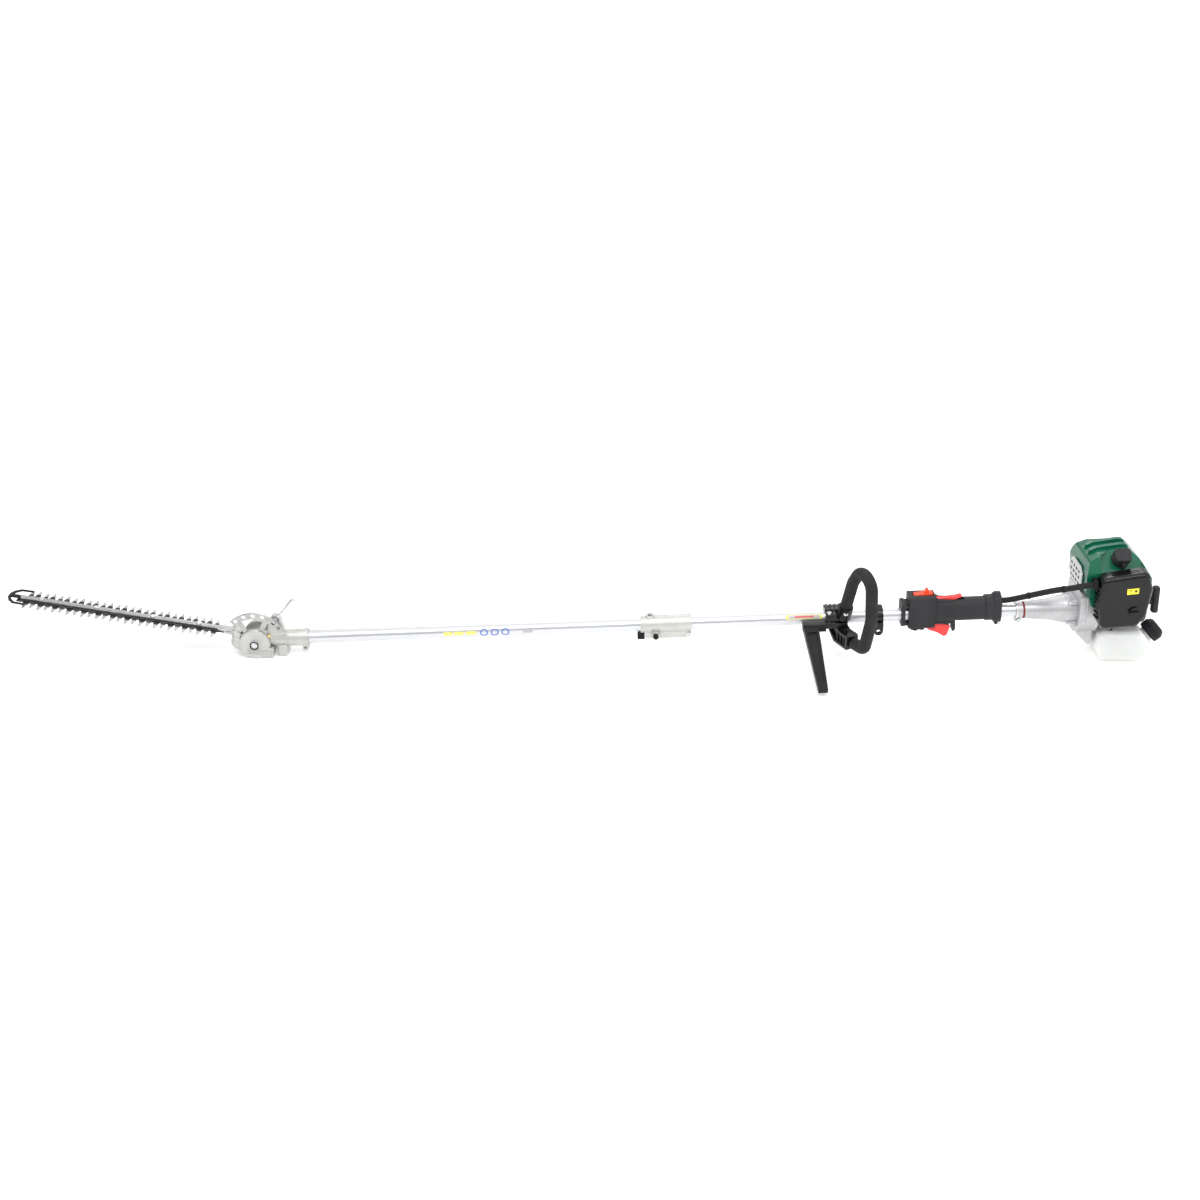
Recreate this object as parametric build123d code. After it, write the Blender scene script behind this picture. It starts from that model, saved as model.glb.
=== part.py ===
from build123d import *
import math
import os

# Pole hedge trimmer. Lengths are in millimetres and angles in degrees.
# The tool frame has its X axis on the drive shaft, from the cutting head towards the engine, +Y away from the
# air-filter side, and +Z up. The row frame stands the tool on its fuel tank, with the shaft rising towards the
# engine, and has its origin at the middle of the tank's flat foot.

SHAFT_RISE = 2.405
AXIS_HEIGHT = 100.0
RUN = 0.05
GAP = 0.4

# shaft
TUBE_R = 13.0
TUBE_BORE_R = 11.5
SHAFT_R = 4.0
SQUARE_HALF = 2.6
UPPER_TUBE_FRONT = -862.0
UPPER_TUBE_REAR = -108.0
LOWER_TUBE_REAR = -866.0
LOWER_TUBE_FRONT = -1640.0
BUSH_LENGTH = 14.0

# cutting head, in the blade frame: X runs back from the blade to the pivot, Z is square to the blade
PIVOT_X = -1672.0
BLADE_RISE = 12.3
CASE_DEPTH = 22.9
DRUM_R = 15.5
DRUM_HALF = 16.4
CHEEK_IN = 17.0
CHEEK_OUT = 28.0
CHEEK_R = 30.0
PIVOT_BOLT_R = 4.0
BEVEL_MODULE = 0.9
CRANK_MODULE = 0.75
PINION_TEETH = 12
GEAR_TEETH = 24
STAND_OFF = 2.0
CRANK_X = -34.0
CRANK_THROW = 8.0
CRANK_PIN_R = 3.0
BLADE_LOW_Z = 6.8
BLADE_THICK = 1.8
BLADE_GAP = 0.2
BLADE_HALF = 11.5
TOOTH_PITCH = 28.0
TOOTH_COUNT = 14
TOOTH_FIRST_X = -84.0
TOOTH_REACH = 36.5
BLADE_END_X = -468.0
BOLT_X = (-116.0, -206.0, -316.0, -422.0)
BOLT_R = 3.0
BLADE_TRAVEL = 8.0
BAR_HALF = 6.5
BAR_THICK = 2.6
QUADRANT_OUT = 65.5
QUADRANT_IN = 52.5
QUADRANT_ARMS = (73.0, 132.0)
QUADRANT_NEAR = -22.0
QUADRANT_THICK = 3.0
LATCH_R = 59.0
LATCH_HOLE_R = 4.0
LATCH_PIVOT_R = 70.0
LATCH_ANGLE = 46.0

# coupler, handles and hanger
COUPLER_FRONT = -914.0
COUPLER_REAR = -814.0
COUPLER_SPLIT = -864.0
BRACKET_FRONT = -553.0
BRACKET_REAR = -510.0
BRACKET_R = 20.0
LOOP_BAR_R = 11.8
HANGER_FRONT = -459.0
HANGER_REAR = -440.0

# rear grip

# power head
FAN_FRONT = -66.0
FAN_REAR = -28.0
CASE_REAR = 34.0
STARTER_REAR = 70.0
STARTER_R = 32.5
CYLINDER_X = 3.0
BORE_R = 17.0
COVER_WALL = 2.5
RECESS_FLOOR = 44.0
FILTER_NEAR = -95.0
FILTER_BACK = -63.0
CAP_R = 21.5
CAP_TILT = 48.0
TANK_HALF = 43.0
TANK_ROUND = 9.0

PARTS = "parts"
os.makedirs(PARTS, exist_ok=True)


def tool_to_row(shape):
    """Turn a shape of the tool frame so that the shaft rises, and lift it over its foot."""
    return Pos(0, 0, AXIS_HEIGHT) * Rot(0, -SHAFT_RISE, 0) * shape


def blade_to_tool(shape):
    """Place a shape of the blade frame at the head's pivot, raised by the blade's angle."""
    return Pos(PIVOT_X, 0, 0) * Rot(0, BLADE_RISE, 0) * shape


def block(x, y, z):
    """A box between pairs of limits."""
    size = Box(x[1] - x[0], y[1] - y[0], z[1] - z[0])
    return Pos((x[0] + x[1]) / 2, (y[0] + y[1]) / 2, (z[0] + z[1]) / 2) * size


def rod_x(radius, x, y=0.0, z=0.0):
    """A cylinder along X between two limits."""
    return Pos((x[0] + x[1]) / 2, y, z) * Rot(0, 90, 0) * Cylinder(radius, x[1] - x[0])


def rod_y(radius, y, x=0.0, z=0.0):
    """A cylinder along Y between two limits."""
    return Pos(x, (y[0] + y[1]) / 2, z) * Rot(90, 0, 0) * Cylinder(radius, y[1] - y[0])


def rod_z(radius, z, x=0.0, y=0.0):
    """A cylinder along Z between two limits."""
    return Pos(x, y, (z[0] + z[1]) / 2) * Cylinder(radius, z[1] - z[0])


def rod_between(radius, start, end):
    """A cylinder from one point to another."""
    start, end = Vector(start), Vector(end)
    axis = end - start
    plane = Plane(origin=start, z_dir=axis)
    return extrude(plane * Circle(radius), axis.length)


def plate_y(points, y, radius=0.0):
    """A side-view outline (x, z) made solid between two Y limits, with rounded corners."""
    corners = [(px, y[0], pz) for px, pz in points]
    edge = FilletPolyline(*corners, radius=radius, close=True) if radius else Polyline(*corners, close=True)
    return extrude(make_face(edge), amount=y[1] - y[0], dir=(0, 1, 0))


def plate_z(points, z, radius=0.0):
    """A plan-view outline (x, y) made solid between two Z limits, with rounded corners."""
    corners = [(px, py, z[0]) for px, py in points]
    edge = FilletPolyline(*corners, radius=radius, close=True) if radius else Polyline(*corners, close=True)
    return extrude(make_face(edge), amount=z[1] - z[0], dir=(0, 0, 1))


def plate_x(points, x, radius=0.0):
    """An end-view outline (y, z) made solid between two X limits, with rounded corners."""
    corners = [(x[0], py, pz) for py, pz in points]
    edge = FilletPolyline(*corners, radius=radius, close=True) if radius else Polyline(*corners, close=True)
    return extrude(make_face(edge), amount=x[1] - x[0], dir=(1, 0, 0))


def slab(x, y, z, radius, axis="Y"):
    """A box whose edges along one axis are rounded."""
    along = {"X": Axis.X, "Y": Axis.Y, "Z": Axis.Z}[axis]
    body = block(x, y, z)
    return fillet(body.edges().filter_by(along), radius)


def socket_screw(head, tip, radius, head_radius, head_length):
    """A cap screw whose head starts at one point and whose shank ends at the other."""
    axis = (Vector(tip) - Vector(head)).normalized()
    neck = Vector(head) + axis * head_length
    cap = rod_between(head_radius, head, neck)
    socket = rod_between(head_radius * 0.5, head, Vector(head) + axis * head_length * 0.5)
    shank = rod_between(radius, neck - axis * 0.5, tip)
    return cap - socket + shank


def cut_for_screws(body, specs):
    """Cut a body for the heads and shanks of screws that pass through it."""
    for head, tip, radius, head_radius, head_length in specs:
        axis = (Vector(tip) - Vector(head)).normalized()
        body -= rod_between(radius, head, tip)
        body -= rod_between(head_radius, head, Vector(head) + axis * head_length)
    return body


# each screw: the middle of its head's end, its tip, shank radius, head radius and head length
EAR_R = 31.5
EAR_SPOTS = [(EAR_R * math.cos(math.radians(a)), EAR_R * math.sin(math.radians(a))) for a in (45, 135, 225, 315)]
HOUSING_SCREWS = [((-83, y, z), (-62.4, y, z), 2.5, 4.4, 5.0) for y, z in EAR_SPOTS]
BRACKET_SCREWS = [((x, y, 19.5), (x, y, -10), 2.8, 4.6, 5.0) for x, y in ((-546, -19), (-546, 19), (-517, 19))]
LOOP_SCREW = ((-517.0, -43.5, 26.0), (-517.0, -22.0, 26.0), 2.5, 4.2, 4.4)
COUPLER_SCREW = ((-821, -13.4, -21), (-821, 8.5, -21), 2.5, 4.2, 4.4)
COLLAR_SCREW = ((-174, -10.8, -18.6), (-174, 6, -18.6), 2.4, 4.0, 4.8)
RING_SCREW = ((-400.5, -13.0, 25.0), (-400.5, -6.0, 25.0), 1.2, 2.4, 2.4)
GRIP_SCREW = ((-212, -12.0, -21.5), (-212, 7, -21.5), 2.0, 3.6, 4.0)


# ---------------------------------------------------------------- gears

def bevel_gear(teeth, mate, module, face, bore, hub):
    """A straight bevel gear on +Z with its apex at the origin and a tooth towards +X."""
    cone = math.atan(teeth / mate)
    far = module * teeth / 2 / math.sin(cone)
    near = far - face
    add, ded = 0.7 * module, 1.0 * module

    def at(distance, offset):
        scale = distance / far
        radial = distance * math.sin(cone) + offset * scale * math.cos(cone)
        axial = distance * math.cos(cone) - offset * scale * math.sin(cone)
        return radial, axial

    def tooth_end(distance):
        scale = distance / far
        root = at(distance, -ded - 0.25 * module)
        tip = at(distance, add)
        wide, slim = 0.66 * module * scale, 0.32 * module * scale
        return make_face(Polyline((root[0], -wide, root[1]), (tip[0], -slim, tip[1]), (tip[0], slim, tip[1]),
                                  (root[0], wide, root[1]), close=True))

    outer, inner = at(far, -ded), at(near, -ded)
    back = outer[1] + hub
    outline = Polyline((bore, 0, inner[1]), (inner[0], 0, inner[1]), (outer[0], 0, outer[1]),
                       (outer[0], 0, back), (bore, 0, back), close=True)
    blank = revolve(make_face(outline), Axis.Z)
    tooth = loft([tooth_end(near), tooth_end(far)], ruled=True)
    ring = [Rot(0, 0, 360 * i / teeth) * tooth for i in range(teeth)]
    return blank.fuse(*ring)


def facing_x(shape):
    """Turn a shape's +Z axis to +X."""
    return Rot(0, 90, 0) * shape


def facing_near(shape):
    """Turn a shape's +Z axis to -Y."""
    return Rot(90, 0, 0) * shape


# ---------------------------------------------------------------- blades

def blade(low_z, offset):
    """One reciprocating blade: a strip with pointed teeth both sides and a forked tail round the crank."""
    top = low_z + BLADE_THICK
    front, rear = BLADE_END_X + offset * 0.5, -72.0
    strip = block((front, rear), (-BLADE_HALF, BLADE_HALF), (low_z, top))
    root, tip, waist = 7.0, 1.6, 4.4
    reach, mid = TOOTH_REACH, BLADE_HALF + 8.0
    half = [(-root, BLADE_HALF - 2), (-waist, mid), (-tip, reach), (tip, reach), (waist, mid),
            (root, BLADE_HALF - 2)]
    teeth = []
    for i in range(TOOTH_COUNT):
        x = TOOTH_FIRST_X - offset - i * TOOTH_PITCH
        if x - root < front:
            continue
        for side in (-1, 1):
            teeth.append(plate_z([(x + px, side * py) for px, py in half], (low_z, top)))
    tail = block((rear - 1, CRANK_X - 22), (-10.5, 10.5), (low_z, top))
    prongs = [block((CRANK_X - 23, CRANK_X + 10), (a, b), (low_z, top)) for a, b in ((-14.6, -11.6), (11.6, 14.6))]
    bridge = block((CRANK_X - 27, CRANK_X - 20.5), (-14.6, 14.6), (low_z, top))
    slots = []
    for x in BOLT_X:
        slots.append(block((x - BLADE_TRAVEL - BOLT_R - GAP, x + BLADE_TRAVEL + BOLT_R + GAP),
                           (-BOLT_R - GAP, BOLT_R + GAP), (low_z - 1, top + 1)))
    body = strip.fuse(tail, bridge, *prongs, *teeth)
    return body.cut(*slots)


def lower_blade():
    return blade(BLADE_LOW_Z, 0.0)


def upper_blade():
    return blade(BLADE_LOW_Z + BLADE_THICK + BLADE_GAP, TOOTH_PITCH / 2)


BAR_Z = BLADE_LOW_Z + 2 * BLADE_THICK + 2 * BLADE_GAP


def guide_bar():
    """The stiff bar over the blades, necked down at each bolt, and its tongue into the gearcase."""
    bar = slab((-462, -60), (-BAR_HALF, BAR_HALF), (BAR_Z, BAR_Z + BAR_THICK), 3.0, "Z")
    bar += slab((-78, -50), (-10.5, 10.5), (BAR_Z, BAR_Z + BAR_THICK), 3.0, "Z")
    ridge = block((-452, -66), (-2.2, 2.2), (BAR_Z + BAR_THICK - 0.2, BAR_Z + BAR_THICK + 1.0))
    for x in BOLT_X:
        ridge -= block((x - 11, x + 11), (-8, 8), (BAR_Z, BAR_Z + 9))
        bar -= rod_z(BOLT_R, (BAR_Z - 1, BAR_Z + 9), x)
    return bar + ridge


def head_bolts():
    """The four blade bolts with their washers and lock nuts, and the pivot bolt, as separate solids."""
    bolts = [pivot_bolt()]
    low = BLADE_LOW_Z - BLADE_GAP
    for x in BOLT_X:
        shank = rod_z(BOLT_R, (low - 6, BAR_Z + BAR_THICK + 2), x)
        head = rod_z(5.5, (BAR_Z + BAR_THICK, BAR_Z + BAR_THICK + 3.2), x)
        head = fillet(head.edges().sort_by(Axis.Z)[-1], 1.2)
        washer = rod_z(7.0, (low - 1.2, low), x)
        nut = Pos(x, 0, low - 6.2) * extrude(RegularPolygon(5.4, 6), 5.0)
        bolts.append(shank + head + washer + nut)
    return Compound(children=bolts)


def tip_guard():
    """The anchor-shaped guard at the blade's end: a thin bow with two swept-back arms, and a stem."""
    z = (BAR_Z, BAR_Z + BAR_THICK)
    outer = [(-446, 31), (-470, 30), (-480, 20), (-485, 8)]
    inner = [(-446, 27), (-468, 25.5), (-475.5, 16.5), (-479.5, 6)]
    half = outer + [(x, -y) for x, y in reversed(outer)]
    bow = plate_z(half + [(x, -y) for x, y in inner] + list(reversed(inner)), z)
    stem = slab((-482, -463), (-5.5, 5.5), z, 2.0, "Z")
    return bow + stem


# ---------------------------------------------------------------- gearcase and drive train of the head

def output_pinion():
    """The shaft that leaves the pivot gear forwards, with a bevel pinion at each end."""
    driven = bevel_gear(PINION_TEETH, GEAR_TEETH, BEVEL_MODULE, 4.0, 0.0, 2.0)
    driven = Pos(-STAND_OFF, 0, 0) * Rot(0, -90, 0) * driven
    drive = bevel_gear(PINION_TEETH, GEAR_TEETH, CRANK_MODULE, 3.2, 0.0, 1.5)
    drive = Pos(CRANK_X, 0, 0) * Rot(0, 90, 0) * drive
    return driven + drive + rod_x(3.0, (-26.0, -12.5))


def crank_gear():
    """The blade crank: a bevel gear under a disc that carries a short and a long pin, half a turn apart."""
    ring = bevel_gear(GEAR_TEETH, PINION_TEETH, CRANK_MODULE, 3.2, 0.0, 2.0)
    ring = Rot(180, 0, 0) * Rot(0, 0, 180 / GEAR_TEETH) * ring
    shaft = rod_z(2.4, (-13.0, 6.2))
    disc = rod_z(11.5, (BLADE_LOW_Z - 1.5, BLADE_LOW_Z - 0.25))
    short = rod_z(CRANK_PIN_R, (BLADE_LOW_Z - 1, BLADE_LOW_Z + BLADE_THICK), -CRANK_THROW)
    long = rod_z(CRANK_PIN_R, (BLADE_LOW_Z - 1, BAR_Z), CRANK_THROW)
    return Pos(CRANK_X, 0, 0) * (ring + shaft + disc + short + long)


def pivot_gear():
    """The idler bevel gear on the pivot bolt, which takes the drive round the head's bend."""
    gear = bevel_gear(GEAR_TEETH, PINION_TEETH, BEVEL_MODULE, 4.0, PIVOT_BOLT_R + RUN, 2.5)
    return facing_near(Rot(0, 0, 180 / GEAR_TEETH) * gear)


def pivot_bolt():
    """The bolt through both cheeks, with its round cap on the near side and a nut on the far side."""
    bolt = rod_y(PIVOT_BOLT_R, (-CHEEK_OUT - 1, CHEEK_OUT + 2))
    cap = rod_y(9.0, (-CHEEK_OUT - 4, -CHEEK_OUT)) - rod_y(6.2, (-CHEEK_OUT - 5, -CHEEK_OUT - 2.5))
    cap += rod_y(2.6, (-CHEEK_OUT - 4, -CHEEK_OUT - 2))
    nut = Pos(0, CHEEK_OUT + 5, 0) * Rot(90, 0, 0) * extrude(RegularPolygon(7.0, 6), 5.0)
    return bolt + cap + nut


def blade_gearcase():
    """The blade-side casting: two cheeks round the pivot, a finned belly and a ribbed wedge under the blade."""
    depth = -CASE_DEPTH
    cheek = [(-26, -14), (-24, 8), (18, 8), (20, -4), (38, -2), (38, depth), (-22, depth)]
    body = plate_y(cheek, (-CHEEK_OUT, CHEEK_OUT), 3.0) + rod_y(CHEEK_R, (-CHEEK_OUT, CHEEK_OUT))
    body = fillet(body.edges().group_by(Axis.Y)[0], 2.0)
    wedge = [(-50, -13), (-22, depth), (-14, depth), (-14, 5.0), (-50, 5.0)]
    nose = rod_z(20.5, (-40, 10), -30.0) + block((-30, 0), (-20.5, 20.5), (-40, 10))
    body += plate_y(wedge, (-20.5, 20.5)) & nose
    body += rod_y(15.0, (-CHEEK_OUT, -CHEEK_OUT + 2))
    for i in range(3):
        x = -31.0 + 4.2 * i
        low = -13.0 - (x + 49) * 0.34
        body = body.fuse(*[block((x, x + 1.8), (y, y + 1.8), (low, 4.0)) for y in (-22.0, 20.2)])
    # room for the drum, the tube socket from straight to square, and the blade tails
    body -= block((-17, 60), (-CHEEK_IN, CHEEK_IN), (-2, 60))
    body -= block((-60, 0), (-CHEEK_IN, CHEEK_IN), (5.0, 60))
    body -= rod_y(DRUM_R + 0.7, (-CHEEK_IN, CHEEK_IN))
    body -= block((10, 60), (-17.4, 17.4), (-17.3, 60))
    body -= block((-17.3, 17.3), (-17.4, 17.4), (10, 60))
    # gear chamber, bearing seats and the quadrant's slot
    body -= rod_x(7.0, (-22.0, -10.0)) + rod_x(6.0, (-30.0, -17.0))
    body -= Pos(CRANK_X, 0, 0) * (rod_z(12.2, (-4.5, 6)) + rod_z(10.6, (-10.5, 2)) + rod_z(2.45, (-13.3, 0)))
    body -= rod_y(PIVOT_BOLT_R, (-CHEEK_OUT - 1, CHEEK_OUT + 1))
    for arm in quadrant_arms(GAP / 8):
        body -= arm
    for i in range(4):
        z = -8.5 - 3.6 * i
        cuts = [block((-14, 36), (y - 0.9, y + 0.9), (z - 0.8, z + 0.8)) for y in (-CHEEK_OUT, CHEEK_OUT)]
        body = body.cut(*cuts)
    return body


def blade_cover():
    """The plate that closes the crank chamber over the blade tails, on two side walls."""
    z = (BAR_Z + BAR_THICK + 0.05, BAR_Z + BAR_THICK + 2.0)
    span = (-53.0, -31.0)
    plate = slab(span, (-18.6, 18.6), z, 10.0, "Z")
    walls = [block((-43, span[1]), (y, y + 3.0), (5.0, z[1])) for y in (-18.6, 15.6)]
    screws = [rod_z(2.8, (z[1], z[1] + 2.0), x, y) for x, y in ((-47, 8), (-47, -8), (-36, 13), (-36, -13))]
    return plate.fuse(*walls, *screws)


def arc_band(inner, outer, start, end, y):
    """A flat band of a circle about the pivot, between two angles measured up from +X."""
    ring = rod_y(outer, y) - rod_y(inner, y)
    far = outer * 1.6
    steps = 6
    fan = [(0.0, 0.0)]
    for i in range(steps + 1):
        angle = math.radians(start + (end - start) * i / steps)
        fan.append((far * math.cos(angle), far * math.sin(angle)))
    return ring & plate_y(fan, (y[0] - 1, y[1] + 1))


def quadrant_arms(slack):
    """The two arms that carry the quadrant on the near cheek, drawn out by a slack."""
    y = (QUADRANT_NEAR - slack, QUADRANT_NEAR + QUADRANT_THICK + slack)
    return [Rot(0, -angle, 0) * block((21.0 - slack, QUADRANT_IN + 2), y, (-5 - slack, 5 + slack))
            for angle in QUADRANT_ARMS]


def quadrant_plate():
    """The thin arc with the latch holes, standing on two arms from the near cheek (blade frame)."""
    y = (QUADRANT_NEAR, QUADRANT_NEAR + QUADRANT_THICK)
    low, high = 34.0, 144.0
    band = arc_band(QUADRANT_IN, QUADRANT_OUT, low, high, y)
    band += arc_band(QUADRANT_OUT - 1.5, QUADRANT_OUT, low, high, (y[0] - 2.5, y[1]))
    for arm in quadrant_arms(0.0):
        band += arm
    for angle in [LATCH_ANGLE, LATCH_ANGLE + BLADE_RISE] + [LATCH_ANGLE + 18.0 * i for i in range(2, 6)]:
        band -= Rot(0, -angle, 0) * rod_y(LATCH_HOLE_R, (y[0] - 4, y[1] + 1), LATCH_R)
    return band


def pivot_housing():
    """The tube-side casting: a drum between the cheeks, the tube socket, the stop block and the latch post."""
    socket = rod_x(16.5, (PIVOT_X + 12, -1569)) + rod_x(18.0, (-1577, -1569))
    drum = rod_y(DRUM_R, (-DRUM_HALF, DRUM_HALF), PIVOT_X)
    keel = slab((-1631.5, -1612), (-17, 17), (-31, -8), 4.0, "Z")
    ear = slab((-1583, -1572), (-7, 7), (-27, -10), 4.0, "Y")
    post = plate_y([(-1650, 10), (-1640, 47), (-1630, 56), (-1620, 50), (-1612, 12)], (-14.0, 2.0), 2.0)
    body = socket.fuse(drum, keel, ear, post)
    body -= rod_y(13.3, (-12.6, 12.6), PIVOT_X)
    body -= rod_y(PIVOT_BOLT_R + RUN, (-20, 20), PIVOT_X)
    body -= rod_x(TUBE_R, (LOWER_TUBE_FRONT, -1560))
    body -= rod_x(8.5, (PIVOT_X + 5, LOWER_TUBE_FRONT + 1))
    window = [(0, 0)]
    for i in range(5):
        angle = math.radians(62 + i * 37)
        window.append((40 * math.cos(angle), 40 * math.sin(angle)))
    body -= Pos(PIVOT_X, 0, 0) * (plate_y(window, (-9, 9)) & rod_y(18, (-9, 9)))
    body -= block((-1590, -1568), (-0.8, 0.8), (-30, -12))
    body -= rod_y(2.5, (-8, 8), -1578, -20.5)
    body -= latch_space()
    return body


def latch_frame(shape):
    """Place a shape whose X runs outwards from the pivot, along the latch."""
    return Pos(PIVOT_X, 0, 0) * Rot(0, -LATCH_ANGLE, 0) * shape


def latch_space():
    """The slot in the post that the latch lever rocks in."""
    return latch_frame(block((50, 90), (-16.0, -4.5), (-4.6, 4.6)))


def lock_lever():
    """The latch, drawn back from the quadrant: a pin, a rocker block and a rod with a thicker end."""
    pin = rod_y(1.8, (QUADRANT_NEAR + QUADRANT_THICK + 0.3, -10.0), LATCH_R)
    rocker = block((LATCH_R - 5, LATCH_R + 14), (-13.0, -8.0), (-4.0, 4.0))
    neck = rod_between(2.6, (LATCH_R + 10, -10.5, 0), (104, -10.5, 0))
    knob = rod_between(4.0, (100, -10.5, 0), (121, -10.5, 0))
    lever = pin + rocker + neck + fillet(knob.edges(), 1.0)
    return latch_frame(lever - rod_z(1.2, (-6, 6), LATCH_PIVOT_R, -10.5))


def drive_square(x, half):
    """A square end along X, for the joint between the two drive shafts."""
    return block(x, (-half, half), (-half, half))


def lower_drive_shaft():
    """The lower drive shaft with its bevel pinion and the squared end that enters the upper shaft."""
    pinion = Pos(PIVOT_X, 0, 0) * facing_x(Rot(0, 0, -90) * bevel_gear(12, 24, BEVEL_MODULE, 4.0, 0.0, 3.0))
    shaft = rod_x(SHAFT_R, (PIVOT_X + 13, LOWER_TUBE_REAR - 6))
    return pinion + shaft + drive_square((LOWER_TUBE_REAR - 8, LOWER_TUBE_REAR + 22), SQUARE_HALF)


def tube_with_bushes(x, count):
    """A tube and the bush liners that its drive shaft runs in, as separate solids."""
    tube = rod_x(TUBE_R, x) - rod_x(TUBE_BORE_R, (x[0] - 1, x[1] + 1))
    liners = []
    for i in range(count):
        centre = x[0] + (x[1] - x[0]) * (i + 0.5) / count
        span = (centre - BUSH_LENGTH / 2, centre + BUSH_LENGTH / 2)
        liners.append(rod_x(TUBE_BORE_R, span) - rod_x(SHAFT_R + RUN, (span[0] - 1, span[1] + 1)))
    return Compound(children=[tube] + liners)


def lower_tube():
    return tube_with_bushes((LOWER_TUBE_FRONT, LOWER_TUBE_REAR), 4)


# ---------------------------------------------------------------- coupler and shaft

def upper_tube():
    return tube_with_bushes((UPPER_TUBE_FRONT, UPPER_TUBE_REAR), 4)


def upper_drive_shaft():
    """The upper drive shaft, with the socket that takes the lower shaft's squared end."""
    socket = rod_x(6.5, (UPPER_TUBE_FRONT + 2, UPPER_TUBE_FRONT + 26))
    socket -= drive_square((UPPER_TUBE_FRONT + 1, UPPER_TUBE_FRONT + 22), SQUARE_HALF + RUN * 2)
    return socket + rod_x(SHAFT_R, (UPPER_TUBE_FRONT + 24, -88))


def coupler_body():
    """The split cast coupler: a barrel on both tubes, a clamp lug below and a boss for its screw."""
    barrel = rod_x(17.0, (COUPLER_FRONT, COUPLER_REAR))
    skirt = slab((COUPLER_FRONT + 8, COUPLER_REAR - 6), (-11, 11), (-27, 0), 5.0, "Y")
    boss = rod_y(8.0, (-17.5, 17.5), -885, -17)
    ear = rod_y(6.0, (-9, 9), -821, -21)
    pad = rod_z(9.0, (10, 19.5), -895)
    body = barrel.fuse(skirt, boss, ear, pad)
    body -= rod_x(TUBE_R + RUN, (COUPLER_FRONT - 1, COUPLER_SPLIT))
    body -= rod_x(TUBE_R, (COUPLER_SPLIT - 0.01, COUPLER_REAR + 1))
    body -= block((COUPLER_FRONT - 1, COUPLER_REAR + 1), (-1.0, 1.0), (-40, -12))
    body -= rod_y(3.0, (-30, 30), -885, -19)
    body -= rod_z(4.0 + GAP, (5, 30), -895)
    return cut_for_screws(body, [COUPLER_SCREW])


def coupler_knob():
    """The dark wing knob under the coupler's front end, which clamps the lower tube."""
    stem = rod_y(3.0 - RUN, (-20, 20), -885, -19)
    head = fillet(rod_y(8.0, (17.6, 26), -885, -19).edges(), 1.0)
    wing = slab((-906, -885), (19, 25), (-23, -15), 2.5, "Y")
    near = rod_y(5.2, (-23, -17.6), -885, -19)
    return stem + head + wing + near


def black_stop():
    """The rubber stop under the coupler's front end."""
    return slab((-921, -906.5), (-6.5, 6.5), (-30, -18), 2.0, "Y")


def lock_button():
    """The spring button that drops into the lower tube's hole."""
    return rod_z(4.0, (13.2, 22.5), -895)


# ---------------------------------------------------------------- front handles and hanger

LOOP_LEAN = 0.5
LOOP_BASE_X = -531.0


def loop_point(y, z):
    """A point of the loop's leaning plane."""
    return (LOOP_BASE_X - LOOP_LEAN * y, y, z)


def round_bar(points, radii, radius):
    """A round bar along straight runs joined by tangent arcs."""
    path = FilletPolyline(*points, radius=radii)
    start = Vector(*points[0])
    plane = Plane(origin=start, z_dir=Vector(*points[1]) - start)
    return sweep(plane * Circle(radius), path=path)


def loop_handle():
    """The rubber-covered loop, from the clamp's top round the near side to the channel below."""
    points = [loop_point(-27, 24), loop_point(-50, 96), loop_point(-74, 134), loop_point(-104, 112),
              loop_point(-106, 40), loop_point(-87, -30), loop_point(-59, -31)]
    bar = round_bar(points, [34, 24, 28, 44, 16], LOOP_BAR_R)
    return cut_for_screws(bar, [LOOP_SCREW])


def handle_bracket():
    """The lower clamp half and the ribbed channel that carries the loop's lower end."""
    shell = rod_x(BRACKET_R, (BRACKET_FRONT, BRACKET_REAR)) & block((-560, -500), (-30, 30), (-30, -0.4))
    ears = block((BRACKET_FRONT, BRACKET_REAR), (-25, 25), (-15, -0.4))
    body = shell + fillet(ears.edges().filter_by(Axis.X), 4)
    drop = [(-18, -8), (6, -8), (6, -24), (-14, -44), (-59, -45.5), (-59, -16), (-34, -16)]
    arm = plate_x(drop, (-13, 13), 3.0)
    pocket = [(-14, -13), (1, -13), (1, -23), (-17, -39), (-52, -40.5), (-52, -21), (-34, -21)]
    arm -= plate_x(pocket, (8, 14)) + plate_x(pocket, (-14, -8))
    for y in (-46, -36, -26):
        arm += plate_x([(y, -41), (y + 2, -41), (y + 2, -19), (y, -19)], (-12, 12))
    lean = Plane(origin=(LOOP_BASE_X, 0, 0), x_dir=Vector(1, LOOP_LEAN, 0), z_dir=Vector(0, 0, 1))
    body += lean.location * arm
    body -= rod_x(TUBE_R, (-600, -480))
    body -= rod_between(LOOP_BAR_R, loop_point(-59, -31), loop_point(-90, -30))
    return cut_for_screws(body, BRACKET_SCREWS)


def handle_clamp_cap():
    """The upper clamp half, with the boss that takes the loop's upper end."""
    shell = rod_x(BRACKET_R, (BRACKET_FRONT, BRACKET_REAR)) & block((-560, -500), (-30, 30), (0.4, 30))
    ears = block((BRACKET_FRONT, BRACKET_REAR), (-25, 25), (0.4, 17))
    body = shell + fillet(ears.edges().filter_by(Axis.X), 4)
    ribs = [block((x - 1.5, x + 1.5), (-14, 14), (10, 22.5)) for x in (-549, -540, -531.5, -523, -514)]
    body = body.fuse(*ribs)
    body += rod_between(14.5, loop_point(-24.5, 11), loop_point(-31.5, 37))
    body -= rod_x(TUBE_R, (-600, -480))
    body -= rod_between(LOOP_BAR_R, loop_point(-27, 24), loop_point(-50, 96))
    return cut_for_screws(body, BRACKET_SCREWS + [LOOP_SCREW])


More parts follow.
